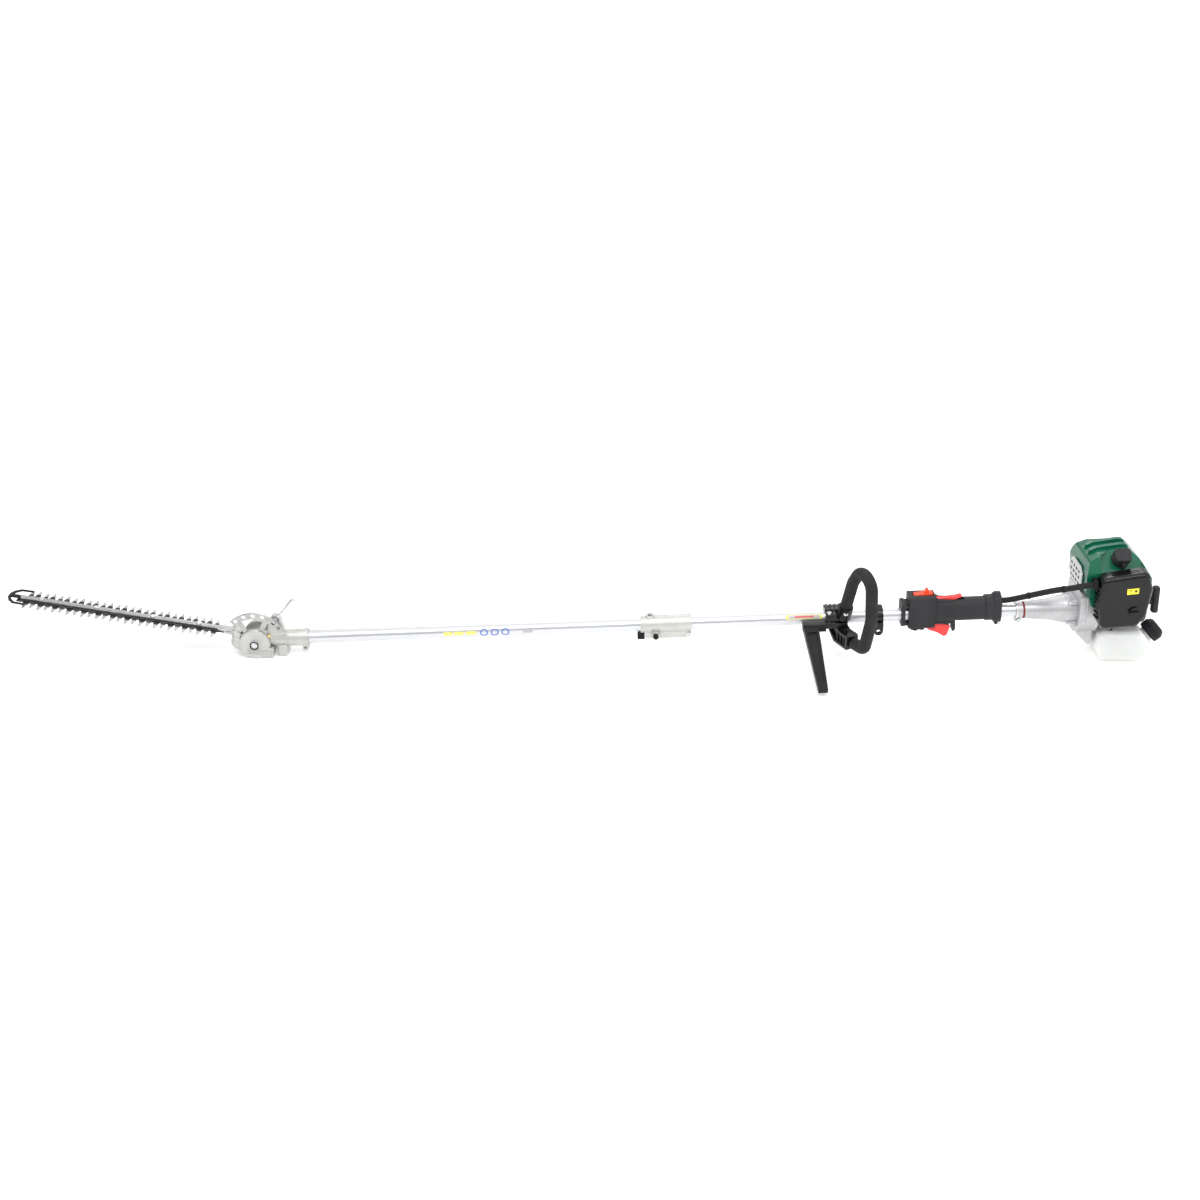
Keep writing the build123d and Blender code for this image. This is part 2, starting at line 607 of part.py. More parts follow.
def barrier_bar():
    """The barrier that keeps the user behind the loop: a short arm and a tapered bar with webs."""
    arm = slab((-599, -554), (-42, -22), (-12, 4), 3.0, "X")
    start, tip = Vector(-584, -36, -4), Vector(-578, -190, -62)
    along = (tip - start).normalized()
    plane = Plane(origin=start, x_dir=Vector(1, 0, 0), z_dir=along)
    reach = (tip - start).length
    wide = make_face(Polyline((-15, -6.5), (15, -6.5), (15, 6.5), (-15, 6.5), close=True))
    slim = make_face(Polyline((-9, -5), (9, -5), (9, 5), (-9, 5), close=True))
    bar = loft([plane * wide, plane.offset(reach) * slim])
    bar = fillet(bar.edges().group_by(Axis.Y)[0], 3.0)
    wide_cut = make_face(Polyline((-9.5, 4), (9.5, 4), (9.5, 8), (-9.5, 8), close=True))
    slim_cut = make_face(Polyline((-5.5, 3), (5.5, 3), (5.5, 8), (-5.5, 8), close=True))
    recess = loft([plane.offset(18) * wide_cut, plane.offset(reach - 14) * slim_cut])
    wide_back = make_face(Polyline((-9.5, -4), (9.5, -4), (9.5, -8), (-9.5, -8), close=True))
    slim_back = make_face(Polyline((-5.5, -3), (5.5, -3), (5.5, -8), (-5.5, -8), close=True))
    back = loft([plane.offset(18) * wide_back, plane.offset(reach - 14) * slim_back])
    tie = block((-556, BRACKET_FRONT), (-24, -16), (-11, -3))
    return arm + bar - recess - back + tie


HARNESS_EYE = (-449.5, -20.0, -24.0)
EYE_R = 4.0
EYE_LENGTH = 8.0


def hanger_clamp():
    """The ribbed ring clamp on the shaft, with an eye for the harness hook."""
    ring = rod_x(19.5, (HANGER_FRONT, HANGER_REAR))
    grips = []
    for i in range(12):
        angle = math.radians(i * 30)
        grips.append(rod_x(3.0, (HANGER_FRONT, HANGER_REAR), 18.6 * math.cos(angle), 18.6 * math.sin(angle)))
    near = (HARNESS_EYE[1] - EYE_LENGTH / 2, HARNESS_EYE[1] + EYE_LENGTH / 2)
    lug = rod_y(8.5, near, HARNESS_EYE[0], HARNESS_EYE[2])
    lug += block((HANGER_FRONT, HANGER_REAR), near, (HARNESS_EYE[2], -6)) + block(
        (HANGER_FRONT, HANGER_REAR), (near[0], -8), (-16, -6))
    ear = slab((HANGER_FRONT, HANGER_REAR), (6, 16), (-26, -8), 3.0, "X")
    body = ring.fuse(lug, ear, *grips)
    body -= rod_x(TUBE_R, (HANGER_FRONT - 1, HANGER_REAR + 1))
    body -= rod_y(EYE_R, (near[0] - 1, near[1] + 1), HARNESS_EYE[0], HARNESS_EYE[2])
    return body - block((HANGER_FRONT - 1, HANGER_REAR + 1), (-3, 3), (-40, -10))


# ---------------------------------------------------------------- rear grip

TRIGGER_PIVOT = (-349.0, -21.0)
LOCKOUT_PIVOT = (-338.0, 28.0)
SWITCH_PIVOT = (-361.0, 39.0)


def grip_body():
    """The whole rear grip before it is split: front ring, switch box, handle, guard fin and rear flange."""
    ring = slab((-404, -397), (-19, 19), (-20, 30), 9.0, "X")
    struts = block((-398, -389), (-12, 12), (-19, -12)) + block((-398, -389), (-12, 12), (22, 28))
    box = slab((-390, -339), (-20, 20), (-24, 43), 5.0, "X")
    chin = plate_y([(-390, -20), (-384, -30), (-374, -33), (-368, -30), (-360, -32), (-353, -24)], (-9, 9), 1.5)
    handle = slab((-341, -214), (-17.5, 17.5), (-14.8, 31), 15.0, "X")
    swell = slab((-240, -216), (-18.6, 18.6), (-16, 34), 15.0, "X")
    shoulder = plate_y([(-341, 20), (-341, 40), (-330, 33), (-300, 30)], (-12, 12))
    skirt = slab((-358, -298), (-11, 11), (-20, -8), 3.0, "X")
    fin = plate_y([(-303, -14), (-297, -14), (-296, -34), (-301, -38), (-303.5, -34)], (-7, 7))
    flange = slab((-224, -210), (-19, 19), (-19, 37), 14.0, "X") + slab((-222, -211), (-10, 10), (20, 41), 7.0, "X")
    foot = slab((-219, -208), (-8, 8), (-27, -10), 4.0, "X")
    body = ring.fuse(struts, box, chin, handle, swell, shoulder, skirt, fin, flange, foot)
    body = cut_for_screws(body, [RING_SCREW])
    body -= rod_x(TUBE_R, (-420, -190))
    body -= block((-357, -303.2), (-6.6, 6.6), (-40, -13.6))
    body -= block((-347, -281), (-5.8, 5.8), (16, 42))
    body -= block((-381.6, -340.4), (-8.4, 8.4), (30, 48))
    body -= block((-384, -346), (-15, 15), (15.5, 34))
    body -= rod_x(5.5, (-222, -200), 0, 22)
    return cut_for_screws(body, [GRIP_SCREW])


def grip_left():
    return grip_body() & block((-420, -190), (-40, -0.02), (-60, 60))


def grip_right():
    return grip_body() & block((-420, -190), (0.02, 40), (-60, 60))


def throttle_trigger():
    """The trigger under the grip, which turns about a pin near its front."""
    body = plate_y([(-355, -18), (-346, -15.8), (-307, -25), (-306.5, -29), (-312, -46), (-318, -48),
                    (-332, -39), (-348, -33), (-356, -26)], (-6.2, 6.2), 1.5)
    return body - rod_y(1.5, (-8, 8), TRIGGER_PIVOT[0], TRIGGER_PIVOT[1])


def lockout_lever():
    """The lever along the top of the grip that frees the trigger."""
    body = plate_y([(-343, 25), (-337, 33), (-300, 36), (-287, 39), (-285.5, 36), (-299, 31), (-336, 24)],
                   (-5.4, 5.4), 0.8)
    return body - rod_y(1.5, (-8, 8), LOCKOUT_PIVOT[0], LOCKOUT_PIVOT[1])


def stop_switch():
    """The rocker of the stop switch, with its raised nub."""
    body = plate_y([(-379.5, 36), (-379.5, 43.5), (-361, 45), (-343, 47), (-343, 36)], (-7.6, 7.6), 1.0)
    nub = plate_y([(-360, 44), (-357, 54), (-352, 55), (-350, 44)], (-3.5, 3.5), 1.0)
    return body + nub - rod_y(1.2, (-9, 9), SWITCH_PIVOT[0], SWITCH_PIVOT[1])


SLEEVE_POINTS = [(-208, 0, 22), (-194, 0, 22), (-166, -8, 32), (-138, -22, 45), (-112, -40, 59),
                 (-90, -63, 72), (-74, -70, 79), (-50, -72, 82)]


def cable_sleeve():
    """The corrugated sleeve that carries the throttle cable and stop wires from the grip to the engine."""
    return round_bar(SLEEVE_POINTS, [40] * (len(SLEEVE_POINTS) - 2), 5.5)


# ---------------------------------------------------------------- clutch and crank train

def clutch_housing():
    """The cast bell round the clutch, with its collar on the tube and its bolt ears."""
    outline = [(-180, 13.0), (-180, 16.4), (-167, 16.4), (-167, 14.8), (-163, 14.8), (-163, 17), (-134, 19.5),
               (-117, 21.5), (-100, 24.5), (-88, 28), (-78, 29.2), (-66, 29.2), (-66, 26), (-89, 26), (-96, 14),
               (-108, 14), (-108, 13.0)]
    bell = revolve(make_face(Polyline(*[(x, 0, z) for x, z in outline], close=True)), Axis.X)
    ears = [rod_x(5.5, (-78, -66), y, z) for y, z in EAR_SPOTS]
    lugs = [block((-180, -168), (a, b), (-22.5, -12)) for a, b in ((-6, -1), (1, 6))]
    body = bell.fuse(*ears, *lugs)
    body -= rod_x(TUBE_R, (-181, -108))
    return cut_for_screws(body, HOUSING_SCREWS + [COLLAR_SCREW])


def clutch_drum():
    """The clutch drum and its hub on the end of the upper drive shaft."""
    cup = rod_x(24.0, (-88, -69)) - rod_x(21.8, (-85, -68))
    hub = rod_x(8.0, (-104.5, -88))
    return (cup + hub) - rod_x(SHAFT_R, (-106, -88))


def main_bearings():
    """The clutch bearing and the two crank bearings."""
    rings = []
    for inner, outer, span in ((8.0, 14.0, (-104, -97)), (6.0, 15.0, (-24, -17)), (6.0, 15.0, (23, 30))):
        rings.append(rod_x(outer, span) - rod_x(inner + RUN, (span[0] - 1, span[1] + 1)))
    return Compound(children=rings)


def clutch_shoes():
    """The two clutch shoes on their carrier disc."""
    ring = rod_x(21.0, (-83, -71)) - rod_x(11.0, (-84, -70))
    ring -= block((-90, -60), (-30, 30), (-1.6, 1.6))
    carrier = rod_x(18.0, (-71, -67)) - rod_x(6.0, (-90, -60))
    pins = [rod_x(2.5, (-72, -67), 0, z) for z in (-16, 16)]
    return ring.fuse(carrier, *pins)


def flywheel_and_clutch():
    """The flywheel with its fan blades, and the clutch shoes in front of it, as separate solids."""
    disc = rod_x(34.0, (-50, -40)) + rod_x(12.0, (-66, -40)) - rod_x(6.0, (-70, -30))
    vane = block((-60, -49), (13, 32), (-1.2, 1.2))
    wheel = disc.fuse(*[Rot(30 * i, 0, 0) * vane for i in range(12)])
    return Compound(children=[wheel, clutch_shoes()])


def crankshaft():
    """The crankshaft's two halves, each with its round web; the crank pin belongs to the rod."""
    front = rod_x(6.0, (-83, -6)) + rod_x(21.0, (-10, -4))
    rear = rod_x(6.0, (12, 40)) + rod_x(21.0, (10, 16))
    return Compound(children=[front, rear])


def piston_and_rod():
    """The piston, wrist pin, connecting rod and crank pin, at the top of the stroke."""
    x = CYLINDER_X
    pin = rod_x(4.0, (-3.9, 9.9), 0, 12)
    rod = rod_x(8.0, (x - 4, x + 4), 0, 12) + rod_x(7.0, (x - 4, x + 4), 0, 64)
    rod += block((x - 2.5, x + 2.5), (-4.5, 4.5), (16, 60))
    rod -= rod_x(4.0, (-10, 20), 0, 12) + rod_x(3.5, (-10, 20), 0, 64)
    piston = rod_z(BORE_R - RUN, (54, 80), x) - rod_z(14.5, (53, 75), x) - rod_x(3.5, (-20, 30), 0, 64)
    wrist = rod_x(3.5, (x - 14, x + 14), 0, 64)
    return Compound(children=[piston, wrist, rod, pin])


def crankcase():
    """The crankcase casting round the crank chamber, with its mounting feet for the tank."""
    body = slab((FAN_REAR, CASE_REAR), (-27, 27), (-29, 30), 10.0, "X")
    feet = block((-22, 28), (-34, 34), (-29, -23))
    body = body + feet
    body -= rod_x(22.0, (-15, 21)) + rod_x(15.0, (-24, -14)) + rod_x(15.0, (20, 30))
    body -= rod_x(7.0, (-40, 50))
    return body - rod_z(17.5, (5, 40), CYLINDER_X)


def cylinder():
    """The finned two-stroke cylinder with intake and exhaust stubs."""
    x = CYLINDER_X
    barrel = rod_z(21.0, (35, 92), x) + block((x - 24, x + 24), (-24, 24), (30.02, 35))
    fins = [slab((x - 29, x + 29), (-29, 29), (40 + 6 * i, 41.8 + 6 * i), 12.0, "Z") for i in range(9)]
    stubs = rod_y(9.0, (-36, -18), x, 50) + rod_y(10.0, (18, 34), x, 56)
    body = barrel.fuse(*fins, stubs)
    body -= rod_z(BORE_R, (20, 84), x)
    body -= rod_y(5.0, (-40, -10), x, 50) + rod_y(6.0, (10, 40), x, 56)
    return body - plug_axis_rod(5.0, -4, 16)


PLUG_SEAT = Vector(CYLINDER_X, -6, 86)
PLUG_DIRECTION = Vector(0, -1, 1).normalized()


def plug_axis_rod(radius, start, end):
    """A cylinder on the spark plug's axis, between two distances from its seat."""
    return rod_between(radius, (PLUG_SEAT + PLUG_DIRECTION * start),
                       (PLUG_SEAT + PLUG_DIRECTION * end))


def spark_plug():
    return plug_axis_rod(5.0, -3, 16) + plug_axis_rod(9.0, 16, 24) + plug_axis_rod(5.5, 24, 40)


def plug_cap():
    """The rubber cap over the plug: a round skirt and a squared outer end."""
    plane = Plane(origin=PLUG_SEAT + PLUG_DIRECTION * 26, x_dir=Vector(1, 0, 0), z_dir=PLUG_DIRECTION)
    body = extrude(plane * Circle(9.5), 22)
    skirt = extrude(plane.offset(18.4) * Circle(17.0), 11)
    head = extrude(plane.offset(25) * RectangleRounded(31, 27, 6), 17.5)
    head = fillet(head.faces().sort_by(Axis.Z)[-1].edges(), 2.5)
    return body + skirt + head - plug_axis_rod(5.5, 20, 40)


def fan_housing():
    """The cast fan housing between the clutch and the crankcase."""
    outer = rod_x(46.0, (FAN_FRONT, FAN_REAR)) + slab((FAN_FRONT, FAN_REAR), (-46, 46), (-14, 50), 10.0, "X")
    outer += plate_y([(-61, -38), (-61, -46), (-40, -68), (-33, -68), (-33, -38)], (-24, 24))
    cavity = rod_x(43.2, (FAN_FRONT + 3.5, FAN_REAR - 3.5))
    cavity += slab((FAN_FRONT + 3.5, FAN_REAR - 3.5), (-43, 43), (-8, 47), 8.0, "X")
    body = outer - cavity - rod_x(26.0, (FAN_FRONT - 1, FAN_FRONT + 4)) - rod_x(9.0, (FAN_REAR - 5, FAN_REAR + 1))
    ribs = [block((x, x + 2.5), (-47.2, -45), (-12, 42)) for x in (-61, -53)]
    ears = [rod_x(5.5, (FAN_FRONT, FAN_FRONT + 5), y, z) for y, z in EAR_SPOTS]
    return cut_for_screws(body.fuse(*ribs, *ears), HOUSING_SCREWS)


# ---------------------------------------------------------------- engine covers and intake

COVER_OUTLINE = [(-62, 50.5), (-64, 94), (-57, 118), (-37, 129), (20, 134), (40, 118), (60, 86), (63, 47.5)]
COVER_SECTION = [(-60, 30), (-60, 98), (-42, 127), (-20, 136), (20, 136), (42, 128), (60, 104), (60, 30)]


def cover_shape(inset):
    """The engine cover's outer form, drawn in by a wall thickness."""
    centre_x, centre_z = 0.0, 90.0
    scale_x = 1 - inset / 62.0
    scale_z = 1 - inset / 44.0
    side = [(centre_x + (x - centre_x) * scale_x, centre_z + (z - centre_z) * scale_z) for x, z in COVER_OUTLINE]
    end = [(y * (1 - inset / 60.0), centre_z + (z - centre_z) * scale_z) for y, z in COVER_SECTION]
    return plate_y(side, (-60 + inset, 60 - inset), 9.0) & plate_x(end, (-80, 70), 9.0)


def plug_recess(inset):
    """The arched pocket in the cover round the plug cap, its walls drawn in by a wall thickness."""
    plane = Plane(origin=PLUG_SEAT + PLUG_DIRECTION * (RECESS_FLOOR - inset), x_dir=Vector(1, 0, 0),
                  z_dir=PLUG_DIRECTION)
    wide = 40.0 + inset
    arch = FilletPolyline((-wide, -80), (-wide, 2), (-18, 22 + inset), (20, 22 + inset), (wide, 6), (wide, -80),
                          radius=12, close=True)
    return extrude(plane * make_face(arch), 80)


def engine_cover():
    """The moulded cover over cylinder and muffler, with ridges, a plug recess and a skirt by the intake."""
    shell = cover_shape(0.0)
    for y in (-11, 15):
        shell += plate_y([(-60, 102), (-51, 128), (-37, 134), (8, 139.5), (20, 138.5), (26, 129), (-42, 119)],
                         (y - 5, y + 5), 4.0)
    shell -= plug_recess(0.0)
    shell -= cover_shape(COVER_WALL) - plug_recess(COVER_WALL)
    shell -= block((-57, 48), (-55, 55), (40, 60))
    skirt = [(-58, 52), (-50, 30), (-28, 16), (-28, -2), (44, -2), (44, 62), (-58, 62)]
    shell += plate_y(skirt, (-60, -57.5))
    shell -= plug_axis_rod(11.0, 26, 80)
    shell -= block((-16, 22), (-66, -50), (30, 76))
    shell -= block((-24, 48), (54, 66), (38, 106))
    vents = [block((50, 70), (y, y + 5), (62, 96)) for y in range(-38, 36, 12)]
    return shell.cut(*vents)


def front_shroud():
    """The bright plate with vents on the cover's front face."""
    plate = plate_x([(-36, 54), (-40, 88), (-24, 100), (24, 100), (40, 88), (36, 54)], (-67.5, -65.2), 4.0)
    holes = [block((-72, -60), (-24 + 16 * i, -14 + 16 * i), (60 + 12 * j, 65 + 12 * j))
             for i in range(4) for j in range(3)]
    return plate.cut(*holes)


def muffler():
    """The muffler box on the far side, with its outlet and mounting flange."""
    box = slab((-22, 38), (38, 72), (40, 104), 7.0, "Y")
    outlet = rod_x(6.0, (38, 46), 56, 88) - rod_x(4.5, (37, 50), 56, 88)
    return box + outlet + block((-8, 14), (34, 39), (46, 66))


def carburettor():
    """The carburettor body with its intake bore and the stubs for fuel line and primer."""
    x = CYLINDER_X
    body = slab((x - 13, x + 13), (-57, -36), (38, 63), 3.0, "Y")
    body -= rod_y(7.0, (-60, -30), x, 50)
    body += rod_z(3.0, (34, 39), x - 9, -47)
    return body - rod_z(6.2, (37, 44), x + 5, -47)


def primer_bulb():
    """The primer bulb under the carburettor."""
    x = CYLINDER_X + 5
    bulb = rod_z(6.0, (33, 41), x, -47)
    return fillet(bulb.edges().group_by(Axis.Z)[0], 3.5)


CHOKE_PIVOT = (34.0, 58.0)


def choke_lever():
    """The choke lever behind the filter cover's rear edge."""
    arm = plate_y([(30, 54), (30, 62), (38, 62), (59, 54), (60, 46), (55, 46)], (-66.5, -63.6), 1.5)
    knob = rod_y(4.0, (-70, -63.6), 57.5, 49.5)
    return arm + knob - rod_y(2.0, (-80, -60), CHOKE_PIVOT[0], CHOKE_PIVOT[1])


FILTER_OUTLINE = [(-43, 101), (44, 112), (54, 76), (46, 20), (30, -1), (-40, -5), (-46, 40)]


def scaled_outline(points, centre, scale):
    return [(centre[0] + (x - centre[0]) * scale, centre[1] + (z - centre[1]) * scale) for x, z in points]


def filter_base():
    """The air-filter backplate on the cover's near side, with the gland for the cable sleeve."""
    plate = plate_y(scaled_outline(FILTER_OUTLINE, (4, 52), 0.93), (FILTER_BACK, -60.3), 6.0)
    lug = slab((-54, -47.4), (-80, -60.3), (73, 92), 3.0, "X") + block((-50, -34), (FILTER_BACK, -60.3), (73, 90))
    post = rod_y(3.0, (-92, FILTER_BACK + 0.5), 20, 33)
    pin = rod_y(2.0 - RUN, (-68, FILTER_BACK + 0.5), CHOKE_PIVOT[0], CHOKE_PIVOT[1])
    gland = rod_between(5.5, SLEEVE_POINTS[-2], SLEEVE_POINTS[-1])
    return plate + lug + post + pin - rod_y(7.0, (-70, -55), CYLINDER_X, 50) - gland


def filter_element():
    return slab((-22, 28), (-82, -67.0), (40, 90), 8.0, "Y") - rod_y(7.0, (-72, -60), CYLINDER_X, 50)


def filter_cover():
    """The glossy filter cover: a dished shell with louvres along its top edge and side ribs."""
    y_open = FILTER_BACK - 0.4
    outer = plate_y(FILTER_OUTLINE, (FILTER_NEAR, y_open), 13.0)
    outer = fillet(outer.edges().group_by(Axis.Y)[0], 9.0)
    inner = plate_y(scaled_outline(FILTER_OUTLINE, (4, 52), 0.93), (FILTER_NEAR + 3.5, y_open + 5), 10.0)
    inner = fillet(inner.edges().group_by(Axis.Y)[0], 7.5)
    body = outer - inner
    for row in range(2):
        y = FILTER_NEAR + 13 + row * 7
        body -= plate_y([(-24, 101.8), (30, 108.6), (30, 125), (-24, 125)], (y, y + 2.6))
    ribs = [block((-47, -43.2), (FILTER_NEAR + 11, y_open), (14 + 9 * i, 17 + 9 * i)) for i in range(8)]
    body = body.fuse(*ribs)
    body -= block((40, 62), (-72, -60), (38, 66))
    return body - rod_y(3.0 + RUN * 2, (-110, -60), 20, 33)


def filter_knob():
    """The winged knob that holds the filter cover."""
    disc = rod_y(9.5, (-99.5, FILTER_NEAR - 0.05), 20, 33)
    wing = slab((11, 29), (-104, -99), (30.6, 35.4), 2.0, "Y")
    return disc + wing - rod_y(3.0 + RUN, (-93, FILTER_BACK), 20, 33)


# ---------------------------------------------------------------- starter and fuel

def starter_housing():
    """The round recoil-starter housing at the rear, with vents and the rope's outlet."""
    body = rod_x(STARTER_R, (CASE_REAR, STARTER_REAR))
    body = fillet(body.edges().sort_by(Axis.X)[-1], 7.0)
    body -= rod_x(STARTER_R - 3, (CASE_REAR + 3.5, STARTER_REAR - 5))
    body -= rod_x(9.0, (CASE_REAR - 1, CASE_REAR + 5))
    body += rod_x(5.0, (CASE_REAR + 16, STARTER_REAR - 3))
    slot = block((STARTER_REAR - 9, STARTER_REAR + 2), (19, 28), (-1.8, 1.8))
    body = body.cut(*[Rot(30 * i, 0, 0) * slot for i in range(12)])
    body += rod_x(7.0, (STARTER_REAR - 5, STARTER_REAR + 2), -14, 14)
    return body - rod_x(2.5, (STARTER_REAR - 9, STARTER_REAR + 4), -14, 14)


PULLEY_R = 20.0


def starter_pulley():
    """The rope pulley on the starter's post, with its drive dog."""
    wheel = rod_x(26.0, (51, 53.5)) + rod_x(PULLEY_R, (53.5, 58.5)) + rod_x(26.0, (58.5, 61))
    return wheel - rod_x(5.0 + RUN, (48, 66))


def starter_handle():
    """The pull handle with its rope stub, standing upright behind the starter."""
    bar = slab((81, 94), (-22, -6), (-8, 46), 5.0, "Z")
    bar = fillet(bar.edges().group_by(Axis.Z)[0] + bar.edges().group_by(Axis.Z)[-1], 3.0)
    neck = rod_x(5.0, (STARTER_REAR + 2.2, 82), -14, 14)
    rope = rod_x(1.8, (STARTER_REAR - 8, 78), -14, 14)
    return bar + neck + rope


def fuel_tank():
    """The moulded tank, hollow, with its flat foot and slanted neck (row frame)."""
    side = [(-9, 66), (-21, 57), (-24, 28), (-12, 0), (60, 0), (73, 9), (85, 31), (84, 38), (61, 64)]
    outer = plate_y(side, (-TANK_HALF, TANK_HALF), 9.0)
    outer = fillet(outer.edges().group_by(Axis.Y)[0] + outer.edges().group_by(Axis.Y)[-1], TANK_ROUND)
    inner = plate_y(scaled_outline(side, (28, 33), 0.92), (3 - TANK_HALF, TANK_HALF - 3), 6.0)
    body = outer - fillet(inner.edges().group_by(Axis.Y)[0] + inner.edges().group_by(Axis.Y)[-1], TANK_ROUND - 3)
    return body + neck_rod(15.0, -8, 8) - neck_rod(12.0, -16, 12)


NECK_ROW = Vector(80.0, -12.0, 47.0)
NECK_DIRECTION = Vector(math.sin(math.radians(CAP_TILT)), 0, math.cos(math.radians(CAP_TILT)))


def neck_rod(radius, start, end):
    """A cylinder on the filler neck's axis (row frame)."""
    return rod_between(radius, (NECK_ROW + NECK_DIRECTION * start),
                       (NECK_ROW + NECK_DIRECTION * end))


def fuel_cap():
    """The ribbed screw cap over the filler neck, domed at its outer end (row frame)."""
    plane = Plane(origin=NECK_ROW + NECK_DIRECTION * 2.5, x_dir=Vector(0, 1, 0), z_dir=NECK_DIRECTION)
    rise = [(0, 0), (CAP_R - 1.5, 0), (CAP_R, 2), (CAP_R, 17), (CAP_R - 3.5, 23), (CAP_R - 8, 25.5), (0, 26)]
    blank = revolve(make_face(Polyline(*[(r, 0, h) for r, h in rise], close=True)), Axis.Z)
    bore = Cylinder(15.0 + RUN * 2, 13.0)
    ribs = [Pos((CAP_R - 0.3) * math.cos(math.radians(15 * i)), (CAP_R - 0.3) * math.sin(math.radians(15 * i)), 9.5)
            * Cylinder(1.1, 15.0) for i in range(24)]
    return plane.location * (blank.fuse(*ribs) - bore)


FUEL_LINE_POINTS = [(0, -38, -33), (0, -38, -20), (-6, -47, 4), (-6, -47, 33.9)]


def fuel_line():
    """The hose from the tank's top to the carburettor."""
    return round_bar(FUEL_LINE_POINTS, [18, 30], 2.6)


# ---------------------------------------------------------------- fasteners of the power head and handles

def frame_screws():
    """All socket screws of the coupler, handles, grip and engine castings."""
    specs = BRACKET_SCREWS + HOUSING_SCREWS + [LOOP_SCREW, COUPLER_SCREW, COLLAR_SCREW, GRIP_SCREW, RING_SCREW]
    return Compound(children=[socket_screw(*spec) for spec in specs])


# ---------------------------------------------------------------- assembly

BLADE_FRAME_PARTS = {
    "upper_blade": upper_blade,
    "lower_blade": lower_blade,
    "guide_bar": guide_bar,
    "head_bolts": head_bolts,
    "tip_guard": tip_guard,
    "blade_gearcase": blade_gearcase,
    "blade_cover": blade_cover,
    "quadrant_plate": quadrant_plate,
    "output_pinion": output_pinion,
    "crank_gear": crank_gear,
}

TOOL_FRAME_PARTS = {
    "pivot_housing": pivot_housing,
    "lock_lever": lock_lever,
    "lower_drive_shaft": lower_drive_shaft,
    "lower_tube": lower_tube,
    "coupler_body": coupler_body,
    "coupler_knob": coupler_knob,
    "coupler_stop": black_stop,
    "lock_button": lock_button,
    "upper_tube": upper_tube,
    "upper_drive_shaft": upper_drive_shaft,
    "loop_handle": loop_handle,
    "handle_bracket": handle_bracket,
    "handle_clamp_cap": handle_clamp_cap,
    "barrier_bar": barrier_bar,
    "hanger_clamp": hanger_clamp,
    "grip_left": grip_left,
    "grip_right": grip_right,
    "throttle_trigger": throttle_trigger,
    "lockout_lever": lockout_lever,
    "stop_switch": stop_switch,
    "cable_sleeve": cable_sleeve,
    "clutch_housing": clutch_housing,
    "clutch_drum": clutch_drum,
    "flywheel_and_clutch": flywheel_and_clutch,
    "crankshaft": crankshaft,
    "main_bearings": main_bearings,
    "piston_and_rod": piston_and_rod,
    "crankcase": crankcase,
    "cylinder": cylinder,
    "spark_plug": spark_plug,
    "plug_cap": plug_cap,
    "fan_housing": fan_housing,
    "engine_cover": engine_cover,
    "front_shroud": front_shroud,
    "muffler": muffler,
    "carburettor": carburettor,
    "primer_bulb": primer_bulb,
    "choke_lever": choke_lever,
    "filter_base": filter_base,
    "filter_element": filter_element,
    "filter_cover": filter_cover,
    "filter_knob": filter_knob,
    "starter_housing": starter_housing,
    "starter_pulley": starter_pulley,
    "starter_handle": starter_handle,
    "fuel_line": fuel_line,
    "frame_screws": frame_screws,
}

ROW_FRAME_PARTS = {
    "fuel_tank": fuel_tank,
    "fuel_cap": fuel_cap,
}


def as_one(shape):
    """The solids of a shape, as one solid or one compound."""
    solids = shape.solids()
    return solids[0] if len(solids) == 1 else Compound(children=list(solids))


def write(name, shape):
    export_step(as_one(shape), os.path.join(PARTS, name + ".step"))


for name, make in BLADE_FRAME_PARTS.items():
    write(name, tool_to_row(blade_to_tool(make())))
# the idler turns on the pivot bolt but meshes with the shaft's pinion, so it is placed in the tool frame
write("pivot_gear", tool_to_row(Pos(PIVOT_X, 0, 0) * pivot_gear()))
for name, make in TOOL_FRAME_PARTS.items():
    write(name, tool_to_row(make()))
for name, make in ROW_FRAME_PARTS.items():
    write(name, make())
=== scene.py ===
"""Looks for the pole hedge trimmer.

Materials for every part, small detail pieces, floor, light and camera.
"""
import math

import bmesh
import bpy
from mathutils import Matrix, Vector

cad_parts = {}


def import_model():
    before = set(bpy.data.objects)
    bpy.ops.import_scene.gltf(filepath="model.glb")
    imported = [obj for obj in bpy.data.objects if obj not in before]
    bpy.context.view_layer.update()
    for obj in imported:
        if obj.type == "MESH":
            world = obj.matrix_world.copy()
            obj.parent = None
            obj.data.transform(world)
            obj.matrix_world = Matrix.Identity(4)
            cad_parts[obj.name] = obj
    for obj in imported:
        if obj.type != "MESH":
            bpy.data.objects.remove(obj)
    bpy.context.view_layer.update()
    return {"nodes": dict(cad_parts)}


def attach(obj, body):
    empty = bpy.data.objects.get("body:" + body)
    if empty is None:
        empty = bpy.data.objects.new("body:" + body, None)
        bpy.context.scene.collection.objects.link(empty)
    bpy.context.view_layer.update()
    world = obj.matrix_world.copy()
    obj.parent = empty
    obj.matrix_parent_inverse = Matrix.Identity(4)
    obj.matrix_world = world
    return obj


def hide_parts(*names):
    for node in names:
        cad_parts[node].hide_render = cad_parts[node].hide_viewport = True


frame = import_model()
nodes = frame["nodes"]

# ------------------------------------------------------------------ frames, in metres

